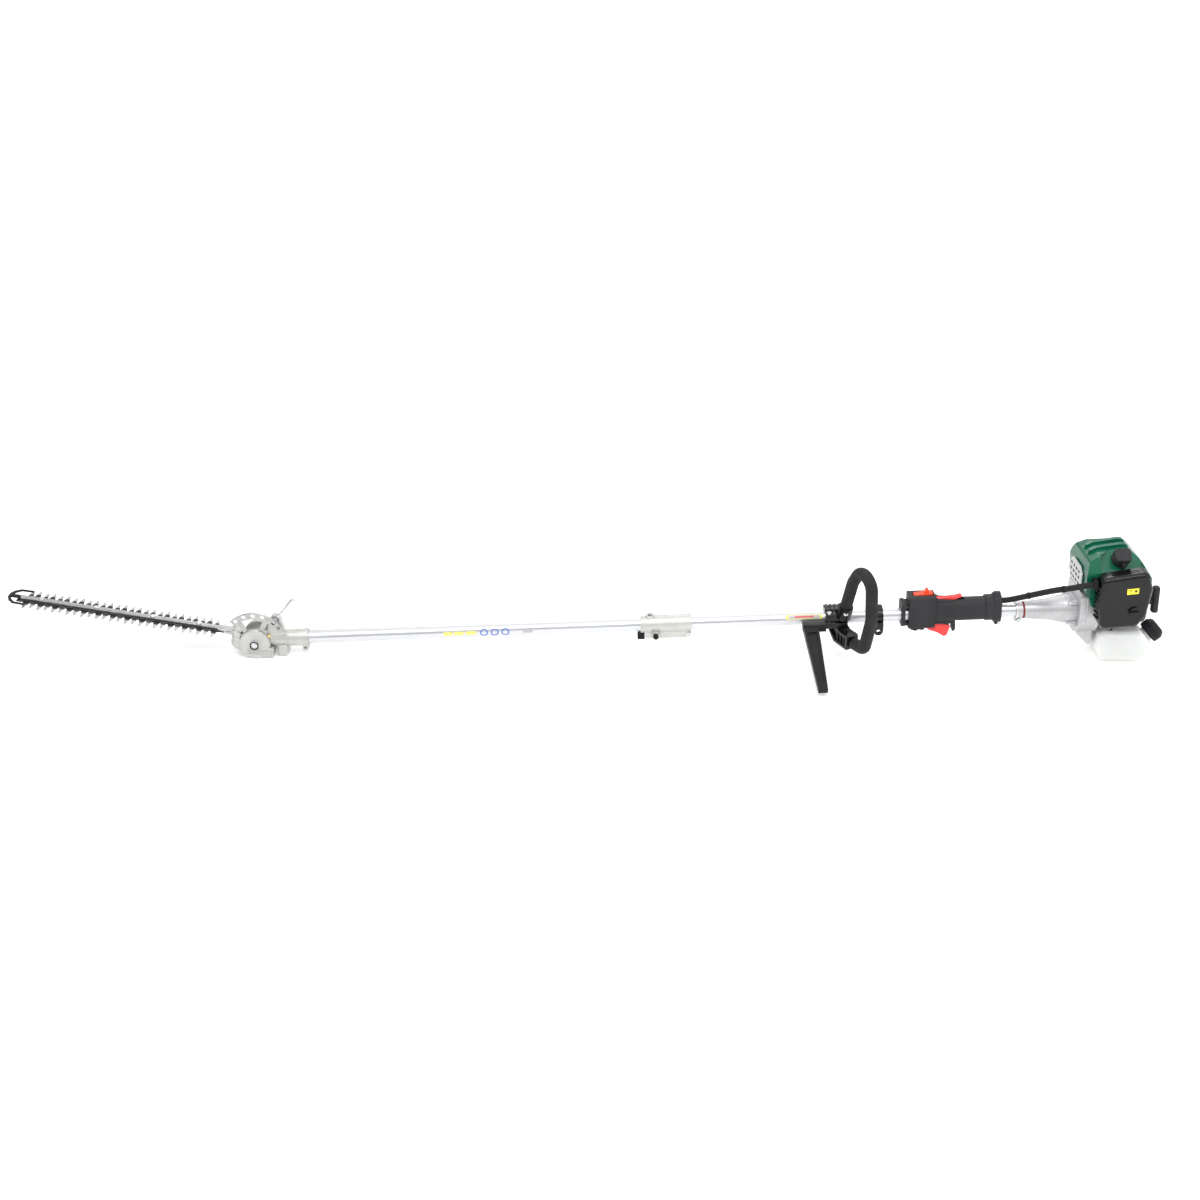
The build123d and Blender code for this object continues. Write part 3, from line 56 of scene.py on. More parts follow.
MM = 0.001
SHAFT_RISE = math.radians(-2.405)
BLADE_RISE = math.radians(12.3)
SHAFT_HEIGHT = 0.100
PIVOT_X = -1.672
TOOL = Matrix.Translation((0, 0, SHAFT_HEIGHT)) @ Matrix.Rotation(SHAFT_RISE, 4, "Y")
HEAD = TOOL @ Matrix.Translation((PIVOT_X, 0, 0)) @ Matrix.Rotation(BLADE_RISE, 4, "Y")

# The blades, in metres of the row frame: where the bright neck starts, and how far from the middle
# the coating ends and the ground teeth begin.
NECK_START = -1.732
NECK_FADE = (-0.0015, 0.0005)
GROUND_FROM, GROUND_FULL = 0.0225, 0.0265
GROUND_WAVER = 0.003

# The rest, in millimetres.
TUBE_R = 13.0
FILM = 0.12
ROUTE_STEPS = 60
RIPPLE_STEPS = 6
PLAIN_HOSE_STEP = 2.0
BEVEL_SAMPLES = 6

# ------------------------------------------------------------------ materials

class Look:
    """A procedural material: a principled shader with named layers added on object coordinates."""

    def __init__(self, name, colour, rough, metal=0.0):
        self.material = bpy.data.materials.new(name)
        self.material.use_nodes = True
        self.tree = self.material.node_tree
        self.shader = self.tree.nodes["Principled BSDF"]
        self.shader.inputs["Metallic"].default_value = metal
        self.shader.inputs["Roughness"].default_value = rough
        self.colour = self.rgb(colour)
        self.rough = self.value(rough)
        self.height = None
        self.place = self.node("ShaderNodeTexCoord").outputs["Object"]
        self.normal = None

    def node(self, kind, **values):
        made = self.tree.nodes.new(kind)
        for key, value in values.items():
            setattr(made, key, value)
        return made

    def link(self, out, into):
        self.tree.links.new(out, into)

    def rgb(self, colour):
        made = self.node("ShaderNodeRGB")
        made.outputs[0].default_value = (*colour, 1.0)
        return made.outputs[0]

    def value(self, number):
        made = self.node("ShaderNodeValue")
        made.outputs[0].default_value = number
        return made.outputs[0]

    def set(self, **inputs):
        for key, value in inputs.items():
            self.shader.inputs[key.replace("_", " ")].default_value = value
        return self

    def math(self, operation, a, b=0.0):
        made = self.node("ShaderNodeMath", operation=operation)
        for socket, item in zip(made.inputs, (a, b)):
            if isinstance(item, (int, float)):
                socket.default_value = item
            else:
                self.link(item, socket)
        return made.outputs[0]

    def ramp(self, factor, low, high):
        """0 below low, 1 above high, smooth between."""
        made = self.node("ShaderNodeMapRange", interpolation_type="SMOOTHSTEP")
        self.link(factor, made.inputs["Value"])
        made.inputs["From Min"].default_value = low
        made.inputs["From Max"].default_value = high
        return made.outputs["Result"]

    def scaled(self, stretch):
        """Object coordinates stretched along each axis."""
        made = self.node("ShaderNodeMapping")
        made.inputs["Scale"].default_value = stretch
        self.link(self.place, made.inputs["Vector"])
        return made.outputs["Vector"]

    def noise(self, scale, detail=4.0, stretch=(1, 1, 1), rough=0.5):
        made = self.node("ShaderNodeTexNoise")
        self.link(self.scaled(stretch), made.inputs["Vector"])
        made.inputs["Scale"].default_value = scale
        made.inputs["Detail"].default_value = detail
        made.inputs["Roughness"].default_value = rough
        return made.outputs["Fac"]

    def cells(self, scale, stretch=(1, 1, 1)):
        made = self.node("ShaderNodeTexVoronoi")
        self.link(self.scaled(stretch), made.inputs["Vector"])
        made.inputs["Scale"].default_value = scale
        return made.outputs["Distance"]

    def axis(self, letter):
        made = self.node("ShaderNodeSeparateXYZ")
        self.link(self.place, made.inputs["Vector"])
        return made.outputs[letter]

    def mix(self, colour, factor):
        """Lay another colour over the present one where the factor is 1."""
        made = self.node("ShaderNodeMix", data_type="RGBA")
        self.link(factor, made.inputs["Factor"])
        self.link(self.colour, made.inputs["A"])
        self.link(self.rgb(colour), made.inputs["B"])
        self.colour = made.outputs["Result"]
        return self

    def mottle(self, colour, scale, amount=1.0, detail=5.0, stretch=(1, 1, 1)):
        """Uneven tone: the second colour in soft patches."""
        cloud = self.ramp(self.noise(scale, detail, stretch), 0.35, 0.7)
        return self.mix(colour, self.math("MULTIPLY", cloud, amount))

    def gloss(self, factor, amount):
        """Add to the roughness where the factor is 1."""
        self.rough = self.math("ADD", self.rough, self.math("MULTIPLY", factor, amount))
        return self

    def bump(self, height, depth):
        """Add a height in millimetres to the relief."""
        step = self.math("MULTIPLY", height, depth)
        self.height = step if self.height is None else self.math("ADD", self.height, step)
        return self

    def rounded_normal(self, radius):
        """The normal as if every corner had a small radius, in millimetres."""
        soft = self.node("ShaderNodeBevel", samples=BEVEL_SAMPLES)
        soft.inputs["Radius"].default_value = radius * MM
        return soft.outputs["Normal"]

    def worn_edges(self, colour, radius, amount, gloss=0.0):
        """Rubbed corners: the colour shows where the rounded normal leaves the flat one."""
        soft = self.rounded_normal(radius)
        flat = self.node("ShaderNodeNewGeometry").outputs["Normal"]
        dot = self.node("ShaderNodeVectorMath", operation="DOT_PRODUCT")
        self.link(soft, dot.inputs[0])
        self.link(flat, dot.inputs[1])
        edge = self.ramp(self.math("SUBTRACT", 1.0, dot.outputs["Value"]), 0.01, 0.12)
        patchy = self.ramp(self.noise(260.0, 4.0), 0.3, 0.62)
        edge = self.math("MULTIPLY", self.math("MULTIPLY", edge, patchy), amount)
        self.normal = soft
        if gloss:
            self.gloss(edge, gloss)
        return self.mix(colour, edge)

    def rounded(self, radius):
        """Shade sharp corners as small radii."""
        self.normal = self.rounded_normal(radius)
        return self

    def done(self):
        """Wire colour, roughness and relief into the shader; the material is ready then."""
        self.link(self.colour, self.shader.inputs["Base Color"])
        self.link(self.rough, self.shader.inputs["Roughness"])
        if self.height is not None:
            made = self.node("ShaderNodeBump")
            made.inputs["Strength"].default_value = 1.0
            made.inputs["Distance"].default_value = MM
            self.link(self.height, made.inputs["Height"])
            if self.normal is not None:
                self.link(self.normal, made.inputs["Normal"])
            self.normal = made.outputs["Normal"]
        if self.normal is not None:
            self.link(self.normal, self.shader.inputs["Normal"])
        return self.material


def cast_alloy(name, colour, dark, shine=0.42):
    """Cast aluminium: fine sandy skin, soft tone patches, brighter rubbed corners."""
    look = Look(name, colour, shine, 0.75)
    look.mottle(dark, 34.0, 0.55)
    look.mottle([c * 1.12 for c in colour], 210.0, 0.4)
    look.gloss(look.noise(90.0, 4.0), 0.16)
    look.bump(look.noise(1500.0, 3.0), 0.10)
    look.bump(look.noise(240.0, 3.0), 0.10)
    look.worn_edges([min(1.0, c * 1.35) for c in colour], 0.7, 0.6)
    return look.done()


def moulded(name, colour, rough, grain=0.05, rub=None, coat=0.0, scale=1300.0):
    """Moulded plastic: spark-eroded grain, faint flow marks and slightly rubbed corners."""
    look = Look(name, colour, rough)
    look.set(Coat_Weight=coat, Coat_Roughness=0.03, Specular_IOR_Level=0.18)
    look.mottle([c * 1.35 + 0.002 for c in colour], 24.0, 0.6)
    look.gloss(look.noise(60.0, 5.0), 0.12)
    look.bump(look.cells(scale), grain)
    look.bump(look.noise(40.0, 2.0), 0.12)
    look.worn_edges(rub or [min(1.0, c * 2.0 + 0.03) for c in colour], 0.5, 0.5, 0.05)
    return look.done()


def drawn_tube():
    """Polished aluminium tube: long fine draw lines, slight smears and a soft satin."""
    look = Look("drawn_tube", (0.64, 0.65, 0.67), 0.22, 0.92)
    lines = look.noise(900.0, 3.0, (0.012, 1, 1))
    look.mix((0.54, 0.55, 0.58), look.math("MULTIPLY", look.ramp(lines, 0.4, 0.75), 0.45))
    look.mottle((0.68, 0.69, 0.72), 9.0, 0.4, stretch=(0.4, 1, 1))
    look.gloss(look.noise(26.0, 6.0), 0.18)
    look.gloss(lines, 0.06)
    look.bump(lines, 0.02)
    return look.done()


def plated_steel(name, colour=(0.74, 0.75, 0.76), rough=0.24):
    """Zinc-plated steel: fine grain, faint spangle, bright corners."""
    look = Look(name, colour, rough, 1.0)
    look.mottle([c * 0.72 for c in colour], 160.0, 0.5)
    look.gloss(look.cells(420.0), 0.18)
    look.bump(look.noise(1100.0, 2.0), 0.03)
    look.worn_edges((0.92, 0.92, 0.93), 0.4, 0.6)
    return look.done()


def oiled_steel(name, colour, rough):
    """Machined steel with turning marks and an oil film."""
    look = Look(name, colour, rough, 1.0)
    rings = look.noise(700.0, 2.0, (1, 0.05, 0.05))
    look.mix([c * 0.6 for c in colour], look.math("MULTIPLY", rings, 0.5))
    look.gloss(look.noise(120.0, 5.0), 0.2)
    look.bump(rings, 0.03)
    look.worn_edges((0.8, 0.8, 0.8), 0.4, 0.5)
    return look.done()


def coated_blade():
    """Black-coated blade with bright neck and teeth, and grinding lines across the teeth."""
    look = Look("coated_blade", (0.012, 0.012, 0.014), 0.36, 0.5)
    look.mottle((0.045, 0.045, 0.05), 70.0, 0.7)
    side = look.math("ABSOLUTE", look.axis("Y"))
    ragged = look.math("MULTIPLY", look.noise(500.0, 3.0), GROUND_WAVER)
    ground = look.ramp(look.math("ADD", side, ragged), GROUND_FROM, GROUND_FULL)
    look.mix((0.50, 0.50, 0.51), ground)
    neck = look.ramp(look.axis("X"), NECK_START + NECK_FADE[0], NECK_START + NECK_FADE[1])
    look.mix((0.60, 0.60, 0.59), neck)
    lines = look.noise(1600.0, 2.0, (0.08, 1, 0.08))
    scratched = look.math("MULTIPLY", look.math("MULTIPLY", lines, ground), 0.6)
    look.mix((0.26, 0.26, 0.27), scratched)
    look.gloss(ground, -0.1)
    look.gloss(look.noise(80.0, 4.0), 0.18)
    look.bump(lines, 0.03)
    look.bump(look.noise(900.0, 3.0), 0.04)
    look.worn_edges((0.7, 0.7, 0.7), 0.35, 0.8)
    return look.done()


def glossy_cover():
    """Dark green glossy moulding: clear coat, slight orange peel, tone drift, rubbed corners."""
    look = Look("glossy_cover", (0.0018, 0.105, 0.056), 0.28)
    look.set(Coat_Weight=0.35, Coat_Roughness=0.03, Specular_IOR_Level=0.2)
    look.mottle((0.0012, 0.080, 0.043), 14.0, 0.7)
    look.mottle((0.003, 0.125, 0.066), 45.0, 0.35)
    look.gloss(look.noise(70.0, 5.0), 0.10)
    look.bump(look.noise(330.0, 2.0), 0.018)
    look.bump(look.noise(38.0, 2.0), 0.10)
    look.worn_edges((0.01, 0.19, 0.11), 1.1, 0.45)
    return look.done()


def tank_plastic():
    """Natural polyethylene: milky, slightly waxy, with painted shade darkening it towards the floor
    at the foot, faint mould ripple.
    """
    look = Look("tank_plastic", (0.86, 0.87, 0.83), 0.38)
    look.set(Subsurface_Weight=0.55, Subsurface_Scale=0.012, Subsurface_Radius=(1.0, 0.95, 0.8))
    look.set(Coat_Weight=0.15, Coat_Roughness=0.25)
    look.mottle((0.80, 0.81, 0.75), 18.0, 0.5)
    # painted shade: the tank darkens over its lowest 30 mm, towards the floor
    low = look.ramp(look.axis("Z"), 0.034, 0.004)
    look.mix((0.78, 0.79, 0.72), look.math("MULTIPLY", low, 0.35))
    look.gloss(look.noise(50.0, 4.0), 0.14)
    look.bump(look.noise(30.0, 3.0), 0.22)
    look.bump(look.noise(1100.0, 2.0), 0.03)
    look.rounded(1.2)
    return look.done()


def soft_rubber(name, colour, rough=0.62, scale=900.0):
    """Matt rubber: fine pores, scuffs and a grey bloom on top."""
    look = Look(name, colour, rough)
    look.set(Sheen_Weight=0.03, Sheen_Roughness=0.4, Specular_IOR_Level=0.25)
    look.mottle([c * 1.6 + 0.004 for c in colour], 46.0, 0.5)
    scuff = look.ramp(look.noise(300.0, 6.0, (0.3, 1, 1)), 0.56, 0.72)
    look.mix([c * 2.4 + 0.01 for c in colour], look.math("MULTIPLY", scuff, 0.25))
    look.gloss(look.noise(110.0, 4.0), 0.16)
    look.bump(look.cells(scale), 0.07)
    look.rounded(0.8)
    return look.done()


def filter_foam():
    """Open-cell foam."""
    look = Look("filter_foam", (0.16, 0.16, 0.15), 0.9)
    look.mottle((0.05, 0.05, 0.05), 500.0, 0.9)
    look.bump(look.cells(650.0), 0.7)
    return look.done()


def heated_steel():
    """Pressed muffler steel with heat tints from straw to blue-grey."""
    look = Look("heated_steel", (0.40, 0.37, 0.33), 0.45, 0.9)
    look.mottle((0.36, 0.26, 0.14), 22.0, 0.6)
    look.mottle((0.16, 0.17, 0.22), 15.0, 0.5)
    look.gloss(look.noise(90.0, 5.0), 0.2)
    look.bump(look.noise(700.0, 3.0), 0.06)
    look.worn_edges((0.55, 0.52, 0.48), 0.6, 0.5)
    return look.done()


def glazed_ceramic():
    """Glazed white insulator of the spark plug."""
    look = Look("glazed_ceramic", (0.86, 0.85, 0.80), 0.18)
    look.set(Coat_Weight=0.8)
    look.mottle((0.78, 0.76, 0.68), 60.0, 0.5)
    look.bump(look.noise(200.0, 2.0), 0.03)
    return look.done()


def amber_rubber():
    """Clear yellowish rubber of the primer bulb."""
    look = Look("amber_rubber", (0.62, 0.56, 0.40), 0.3)
    look.set(Subsurface_Weight=0.4, Subsurface_Scale=0.004, Transmission_Weight=0.25)
    look.mottle((0.50, 0.42, 0.26), 90.0, 0.5)
    look.bump(look.noise(600.0, 2.0), 0.04)
    return look.done()


def printed_film(name, colour, dark):
    """A printed foil: matt ink with slight dot grain and lifted, scuffed places."""
    look = Look(name, colour, 0.34)
    look.set(Coat_Weight=0.35, Coat_Roughness=0.2)
    look.mottle(dark, 300.0, 0.4)
    look.gloss(look.noise(140.0, 4.0), 0.15)
    look.bump(look.noise(420.0, 3.0), 0.02)
    return look.done()


def yellow_brass():
    """Machined brass, slightly tarnished."""
    look = Look("yellow_brass", (0.86, 0.62, 0.22), 0.22, 1.0)
    look.mottle((0.62, 0.42, 0.16), 220.0, 0.5)
    look.gloss(look.noise(300.0, 3.0), 0.15)
    look.bump(look.noise(900.0, 2.0), 0.03)
    return look.done()


WARM_CAST = cast_alloy("warm_cast", (0.56, 0.555, 0.53), (0.40, 0.40, 0.385))
GREY_CAST = cast_alloy("grey_cast", (0.52, 0.52, 0.53), (0.38, 0.38, 0.39), 0.38)
DARK_CAST = cast_alloy("dark_cast", (0.42, 0.42, 0.42), (0.28, 0.28, 0.28), 0.46)
PRESSED_PLATE = plated_steel("pressed_plate", (0.42, 0.42, 0.43), 0.26)
PLATED = plated_steel("plated_steel")
QUADRANT_STEEL = plated_steel("quadrant_steel", (0.46, 0.46, 0.45), 0.3)
BRIGHT_BAR = plated_steel("bright_bar", (0.50, 0.50, 0.50), 0.34)
OILED = oiled_steel("oiled_steel", (0.42, 0.42, 0.43), 0.28)
GEAR_STEEL = oiled_steel("gear_steel", (0.30, 0.29, 0.28), 0.32)
BLACK_NYLON = moulded("black_nylon", (0.007, 0.007, 0.008), 0.40, 0.05)
BAR_NYLON = moulded("bar_nylon", (0.010, 0.010, 0.011), 0.36, 0.04)
CAP_NYLON = moulded("cap_nylon", (0.013, 0.013, 0.015), 0.44, 0.07, scale=900.0)
GLOSS_BLACK = moulded("gloss_black", (0.005, 0.005, 0.006), 0.24, 0.010,
                      rub=(0.03, 0.03, 0.03), coat=0.3)
GRIP_PLASTIC = moulded("grip_plastic", (0.026, 0.026, 0.029), 0.50, 0.08,
                       rub=(0.08, 0.08, 0.08), scale=800.0)
ORANGE_PLASTIC = moulded("orange_plastic", (0.80, 0.060, 0.018), 0.36, 0.03,
                         rub=(0.95, 0.20, 0.10), coat=0.3)
RED_PLASTIC = moulded("red_plastic", (0.78, 0.055, 0.050), 0.40, 0.04,
                      rub=(0.95, 0.22, 0.20), coat=0.2)
LOOP_RUBBER = soft_rubber("loop_rubber", (0.014, 0.014, 0.015))
HOSE_RUBBER = soft_rubber("hose_rubber", (0.009, 0.009, 0.010), 0.5, 1400.0)
PLUG_RUBBER = soft_rubber("plug_rubber", (0.018, 0.018, 0.020), 0.5, 1500.0)
SEAL_RED = moulded("seal_red", (0.24, 0.010, 0.014), 0.4, 0.03)
YELLOW_FILM = printed_film("yellow_film", (0.95, 0.80, 0.02), (0.85, 0.70, 0.02))
PALE_YELLOW_FILM = printed_film("pale_yellow_film", (0.80, 0.72, 0.16), (0.72, 0.66, 0.20))
RED_FILM = printed_film("red_film", (0.62, 0.020, 0.020), (0.50, 0.02, 0.02))
BLUE_FILM = printed_film("blue_film", (0.10, 0.18, 0.55), (0.08, 0.14, 0.45))
GREY_FILM = printed_film("grey_film", (0.42, 0.43, 0.45), (0.34, 0.35, 0.36))
BLACK_FILM = printed_film("black_film", (0.012, 0.012, 0.012), (0.03, 0.03, 0.03))
BRASS = yellow_brass()
COATED_BLADE = coated_blade()
DRAWN_TUBE = drawn_tube()
GREEN_COVER = glossy_cover()
HEATED_STEEL = heated_steel()
CERAMIC = glazed_ceramic()
AMBER_RUBBER = amber_rubber()
FOAM = filter_foam()
MILKY_TANK = tank_plastic()

LOOK_NODES = (
    (COATED_BLADE, ("upper_blade", "lower_blade")),
    (BRIGHT_BAR, ("guide_bar",)),
    (QUADRANT_STEEL, ("quadrant_plate",)),
    (PLATED, ("head_bolts", "lock_lever", "frame_screws")),
    (PRESSED_PLATE, ("front_shroud",)),
    (WARM_CAST, ("blade_gearcase", "pivot_housing", "blade_cover", "coupler_body")),
    (GREY_CAST, ("clutch_housing", "fan_housing")),
    (DARK_CAST, ("crankcase", "cylinder", "piston_and_rod", "carburettor")),
    (DRAWN_TUBE, ("upper_tube", "lower_tube")),
    (OILED, ("upper_drive_shaft", "lower_drive_shaft", "crankshaft", "main_bearings",
             "clutch_drum", "flywheel_and_clutch", "lock_button")),
    (GEAR_STEEL, ("pivot_gear", "output_pinion", "crank_gear")),
    (HEATED_STEEL, ("muffler",)),
    (BLACK_NYLON, ("tip_guard", "coupler_knob", "coupler_stop", "filter_base",
                   "starter_housing", "starter_pulley", "choke_lever")),
    (BAR_NYLON, ("barrier_bar",)),
    (CAP_NYLON, ("fuel_cap",)),
    (GLOSS_BLACK, ("hanger_clamp", "handle_bracket", "handle_clamp_cap", "filter_cover",
                   "filter_knob")),
    (GRIP_PLASTIC, ("grip_left", "grip_right", "starter_handle")),
    (RED_PLASTIC, ("throttle_trigger", "lockout_lever")),
    (ORANGE_PLASTIC, ("stop_switch",)),
    (GREEN_COVER, ("engine_cover",)),
    (LOOP_RUBBER, ("loop_handle",)),
    (HOSE_RUBBER, ("cable_sleeve", "fuel_line")),
    (PLUG_RUBBER, ("plug_cap",)),
    (CERAMIC, ("spark_plug",)),
    (AMBER_RUBBER, ("primer_bulb",)),
    (FOAM, ("filter_element",)),
    (MILKY_TANK, ("fuel_tank",)),
)

for look, names in LOOK_NODES:
    for name in names:
        mesh = nodes[name].data
        mesh.materials.clear()
        mesh.materials.append(look)

# ------------------------------------------------------------------ mesh helpers


def finish_piece(name, mesh, matrix, body, look, bevel=0.0):
    """Place a mesh, give it its material, smooth it and let it ride on a body."""
    mesh.transform(Matrix.Scale(MM, 4))
    mesh.transform(matrix)
    mesh.materials.append(look)
    piece = bpy.data.objects.new(name, mesh)
    bpy.context.scene.collection.objects.link(piece)
    if bevel:
        rounding = piece.modifiers.new("round", "BEVEL")
        rounding.width = bevel * MM
        rounding.segments = 3
        rounding.angle_limit = math.radians(35)
    mesh.shade_smooth()
    mesh.set_sharp_from_angle(angle=math.radians(40))
    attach(piece, body)
    return piece


def mesh_from(name, points, faces):
    """A mesh with its faces turned outwards."""
    mesh = bpy.data.meshes.new(name)
    mesh.from_pydata(points, [], faces)
    box = bmesh.new()
    box.from_mesh(mesh)
    bmesh.ops.recalc_face_normals(box, faces=box.faces)
    box.to_mesh(mesh)
    box.free()
    return mesh


def lathe(name, profile, segments=48):
    """A mesh turned about local Z from (radius, height) pairs, the last joined to the first."""
    points, faces = [], []
    count = len(profile)
    for i in range(segments):
        angle = 2 * math.pi * i / segments
        for radius, height in profile:
            points.append((radius * math.cos(angle), radius * math.sin(angle), height))
    for i in range(segments):
        after = (i + 1) % segments
        for j in range(count):
            k = (j + 1) % count
            faces.append((i * count + j, after * count + j, after * count + k, i * count + k))
    mesh = mesh_from(name, points, faces)
    box = bmesh.new()
    box.from_mesh(mesh)
    bmesh.ops.remove_doubles(box, verts=box.verts, dist=0.001)
    bmesh.ops.dissolve_degenerate(box, edges=box.edges, dist=0.0005)
    bmesh.ops.recalc_face_normals(box, faces=box.faces)
    box.to_mesh(mesh)
    box.free()
    return mesh


def prism(name, outline, low, high):
    """An outline in local X and Z, given thickness along local Y."""
    count = len(outline)
    points = [(x, low, z) for x, z in outline] + [(x, high, z) for x, z in outline]
    faces = [tuple(range(count)), tuple(range(count, 2 * count))]
    faces += [(i, (i + 1) % count, count + (i + 1) % count, count + i) for i in range(count)]
    return mesh_from(name, points, faces)


def tube_patch(name, x, start, end, radius, ends=0.0, steps=24):
    """A thin film bent round the shaft: from one angle to another (0 near side, 90 top)."""
    points, faces = [], []
    for i in range(steps + 1):
        share = i / steps
        angle = math.radians(start + (end - start) * share)
        inset = ends * abs(2 * share - 1) ** 3
        for across in (x[0] + inset, x[1] - inset):
            for thick in (0.0, FILM):
                reach = radius + thick
                points.append((across, -reach * math.cos(angle), reach * math.sin(angle)))
    for i in range(steps):
        a, b = 4 * i, 4 * i + 4
        faces += [(a, a + 2, b + 2, b), (a + 1, b + 1, b + 3, a + 3), (a, b, b + 1, a + 1),
                  (a + 2, a + 3, b + 3, b + 2)]
    faces += [(0, 1, 3, 2), (4 * steps, 4 * steps + 2, 4 * steps + 3, 4 * steps + 1)]
    return mesh_from(name, points, faces)


def at_point(base, x, y, z):
    """A frame moved to a point in its millimetres."""
    return base @ Matrix.Translation((x * MM, y * MM, z * MM))


def along_x(x):
    """A matrix that stands local Z along the shaft, on the shaft's axis."""
    return at_point(TOOL, x, 0, 0) @ Matrix.Rotation(math.radians(90), 4, "Y")


def along_near(x, y, z, base=TOOL):
    """A matrix that stands local Z towards the near side."""
    return at_point(base, x, y, z) @ Matrix.Rotation(math.radians(90), 4, "X")


def smooth_path(points):
    """Points on the smooth curve that a route of control points makes."""
    curve = bpy.data.curves.new("route", "CURVE")
    curve.dimensions = "3D"
    curve.resolution_u = ROUTE_STEPS
    spline = curve.splines.new("NURBS")
    spline.points.add(len(points) - 1)
    for place, point in zip(spline.points, points):
        place.co = (*point, 1.0)
    spline.order_u = 3
    spline.use_endpoint_u = True
    carrier = bpy.data.objects.new("route", curve)
    line = bpy.data.meshes.new_from_object(carrier)
    path = [vertex.co.copy() for vertex in line.vertices]
    bpy.data.objects.remove(carrier)
    bpy.data.curves.remove(curve)
    return path


def hose(name, points, radius, ripple=0.0, pitch=3.0, around=24):
    """A hose mesh in millimetres along a route, with round ripples if asked."""
    path = smooth_path(points)
    fine, travelled = [path[0]], 0.0
    spacing = pitch / RIPPLE_STEPS if ripple else PLAIN_HOSE_STEP
    for a, b in zip(path, path[1:]):
        run = (b - a).length
        while travelled + run >= spacing:
            share = (spacing - travelled) / run
            a = a.lerp(b, share)
            run = (b - a).length
            travelled = 0.0
            fine.append(a.copy())
        travelled += run
    points_out, faces = [], []
    side = Vector((0, 1, 0))
    for i, point in enumerate(fine):
        along = (fine[min(i + 1, len(fine) - 1)] - fine[max(i - 1, 0)]).normalized()
        side = (side - along * side.dot(along)).normalized()
        up = along.cross(side)
        reach = radius - ripple * (0.5 - 0.5 * math.cos(2 * math.pi * i / RIPPLE_STEPS))
        for j in range(around):
            angle = 2 * math.pi * j / around
            points_out.append(point + side * reach * math.cos(angle) + up * reach * math.sin(angle))
    for i in range(len(fine) - 1):
        here, there = i * around, (i + 1) * around
        for j in range(around):
            k = (j + 1) % around
            faces.append((here + j, here + k, there + k, there + j))
    last = (len(fine) - 1) * around
    faces.append(tuple(range(around)))
    faces.append(tuple(range(last, last + around)))
    return mesh_from(name, points_out, faces)


# ------------------------------------------------------------------ shaft films and rings

def ring_film(name, middle, inner, outer, lean, around=32):
    """A flat ring of film wrapped on the shaft, its middle leaning up from the near side."""
    points, faces = [], []
    for j in range(around):
        angle = 2 * math.pi * j / around
        for reach in (inner, outer):
            turn = lean + reach * math.sin(angle) / TUBE_R
            for thick in (0.03, 0.15):
                radius = TUBE_R + thick
                points.append((middle + reach * math.cos(angle), -radius * math.cos(turn),
                               radius * math.sin(turn)))
    for j in range(around):
        a, b = 4 * j, 4 * ((j + 1) % around)
        faces += [(a, b, b + 1, a + 1), (a + 2, a + 3, b + 3, b + 2), (a, a + 2, b + 2, b),
                  (a + 1, b + 1, b + 3, a + 3)]
    return mesh_from(name, points, faces)


def shaft_films():
    """Printed films on the two tubes: plain coloured bars and rings, with no lettering."""
    # name, from and to along the shaft, from and to in degrees, height off the tube, end curve
    lower = (
        ("lower_film_yellow_a", (-1302, -1284), (-14, 20), 0.03, 2.0, PALE_YELLOW_FILM),
        ("lower_film_yellow_b", (-1281, -1262), (-14, 20), 0.03, 0.0, PALE_YELLOW_FILM),
        ("lower_film_yellow_c", (-1258, -1238), (-14, 20), 0.03, 0.0, PALE_YELLOW_FILM),
        ("lower_film_grey", (-1146, -1126), (-14, 20), 0.03, 2.0, GREY_FILM),
    )
    upper = (
        ("upper_film_border", (-630, -557), (16, 58), 0.03, 3.0, PALE_YELLOW_FILM),
        ("upper_film_middle", (-624, -563), (22, 52), 0.10, 2.0, GREY_FILM),
        ("upper_film_bar", (-612, -574), (31, 45), 0.17, 0.0, RED_FILM),
    )

    def lay(films, body):
        for name, x, (start, end), lift, ends, look in films:
            mesh = tube_patch(name, x, start, end, TUBE_R + lift, ends)
            finish_piece(name, mesh, TOOL, body, look)

    lay(lower, "attachment")
    for i in range(3):
        name = f"lower_film_ring_{i}"
        mesh = ring_film(name, -1222.0 + 21.0 * i, 5.2, 8.0, math.radians(3.0))
        finish_piece(name, mesh, TOOL, "attachment", BLUE_FILM)
    lay(upper, "power_unit")


def collar_rings():
    """The dark red seal and the thin step where the clutch bell meets its collar."""
    seal = [(14.9, -1.1), (16.6, -1.1), (16.9, -0.6), (16.9, 0.6), (16.6, 1.1), (14.9, 1.1)]
    finish_piece("collar_seal", lathe("collar_seal", seal), along_x(-165.0), "power_unit",
                 SEAL_RED)
    band = [(16.2, -1.2), (16.8, -1.2), (17.0, -0.8), (17.0, 0.8), (16.8, 1.2), (16.2, 1.2)]
    finish_piece("collar_band", lathe("collar_band", band), along_x(-178.2), "power_unit",
                 PLATED)


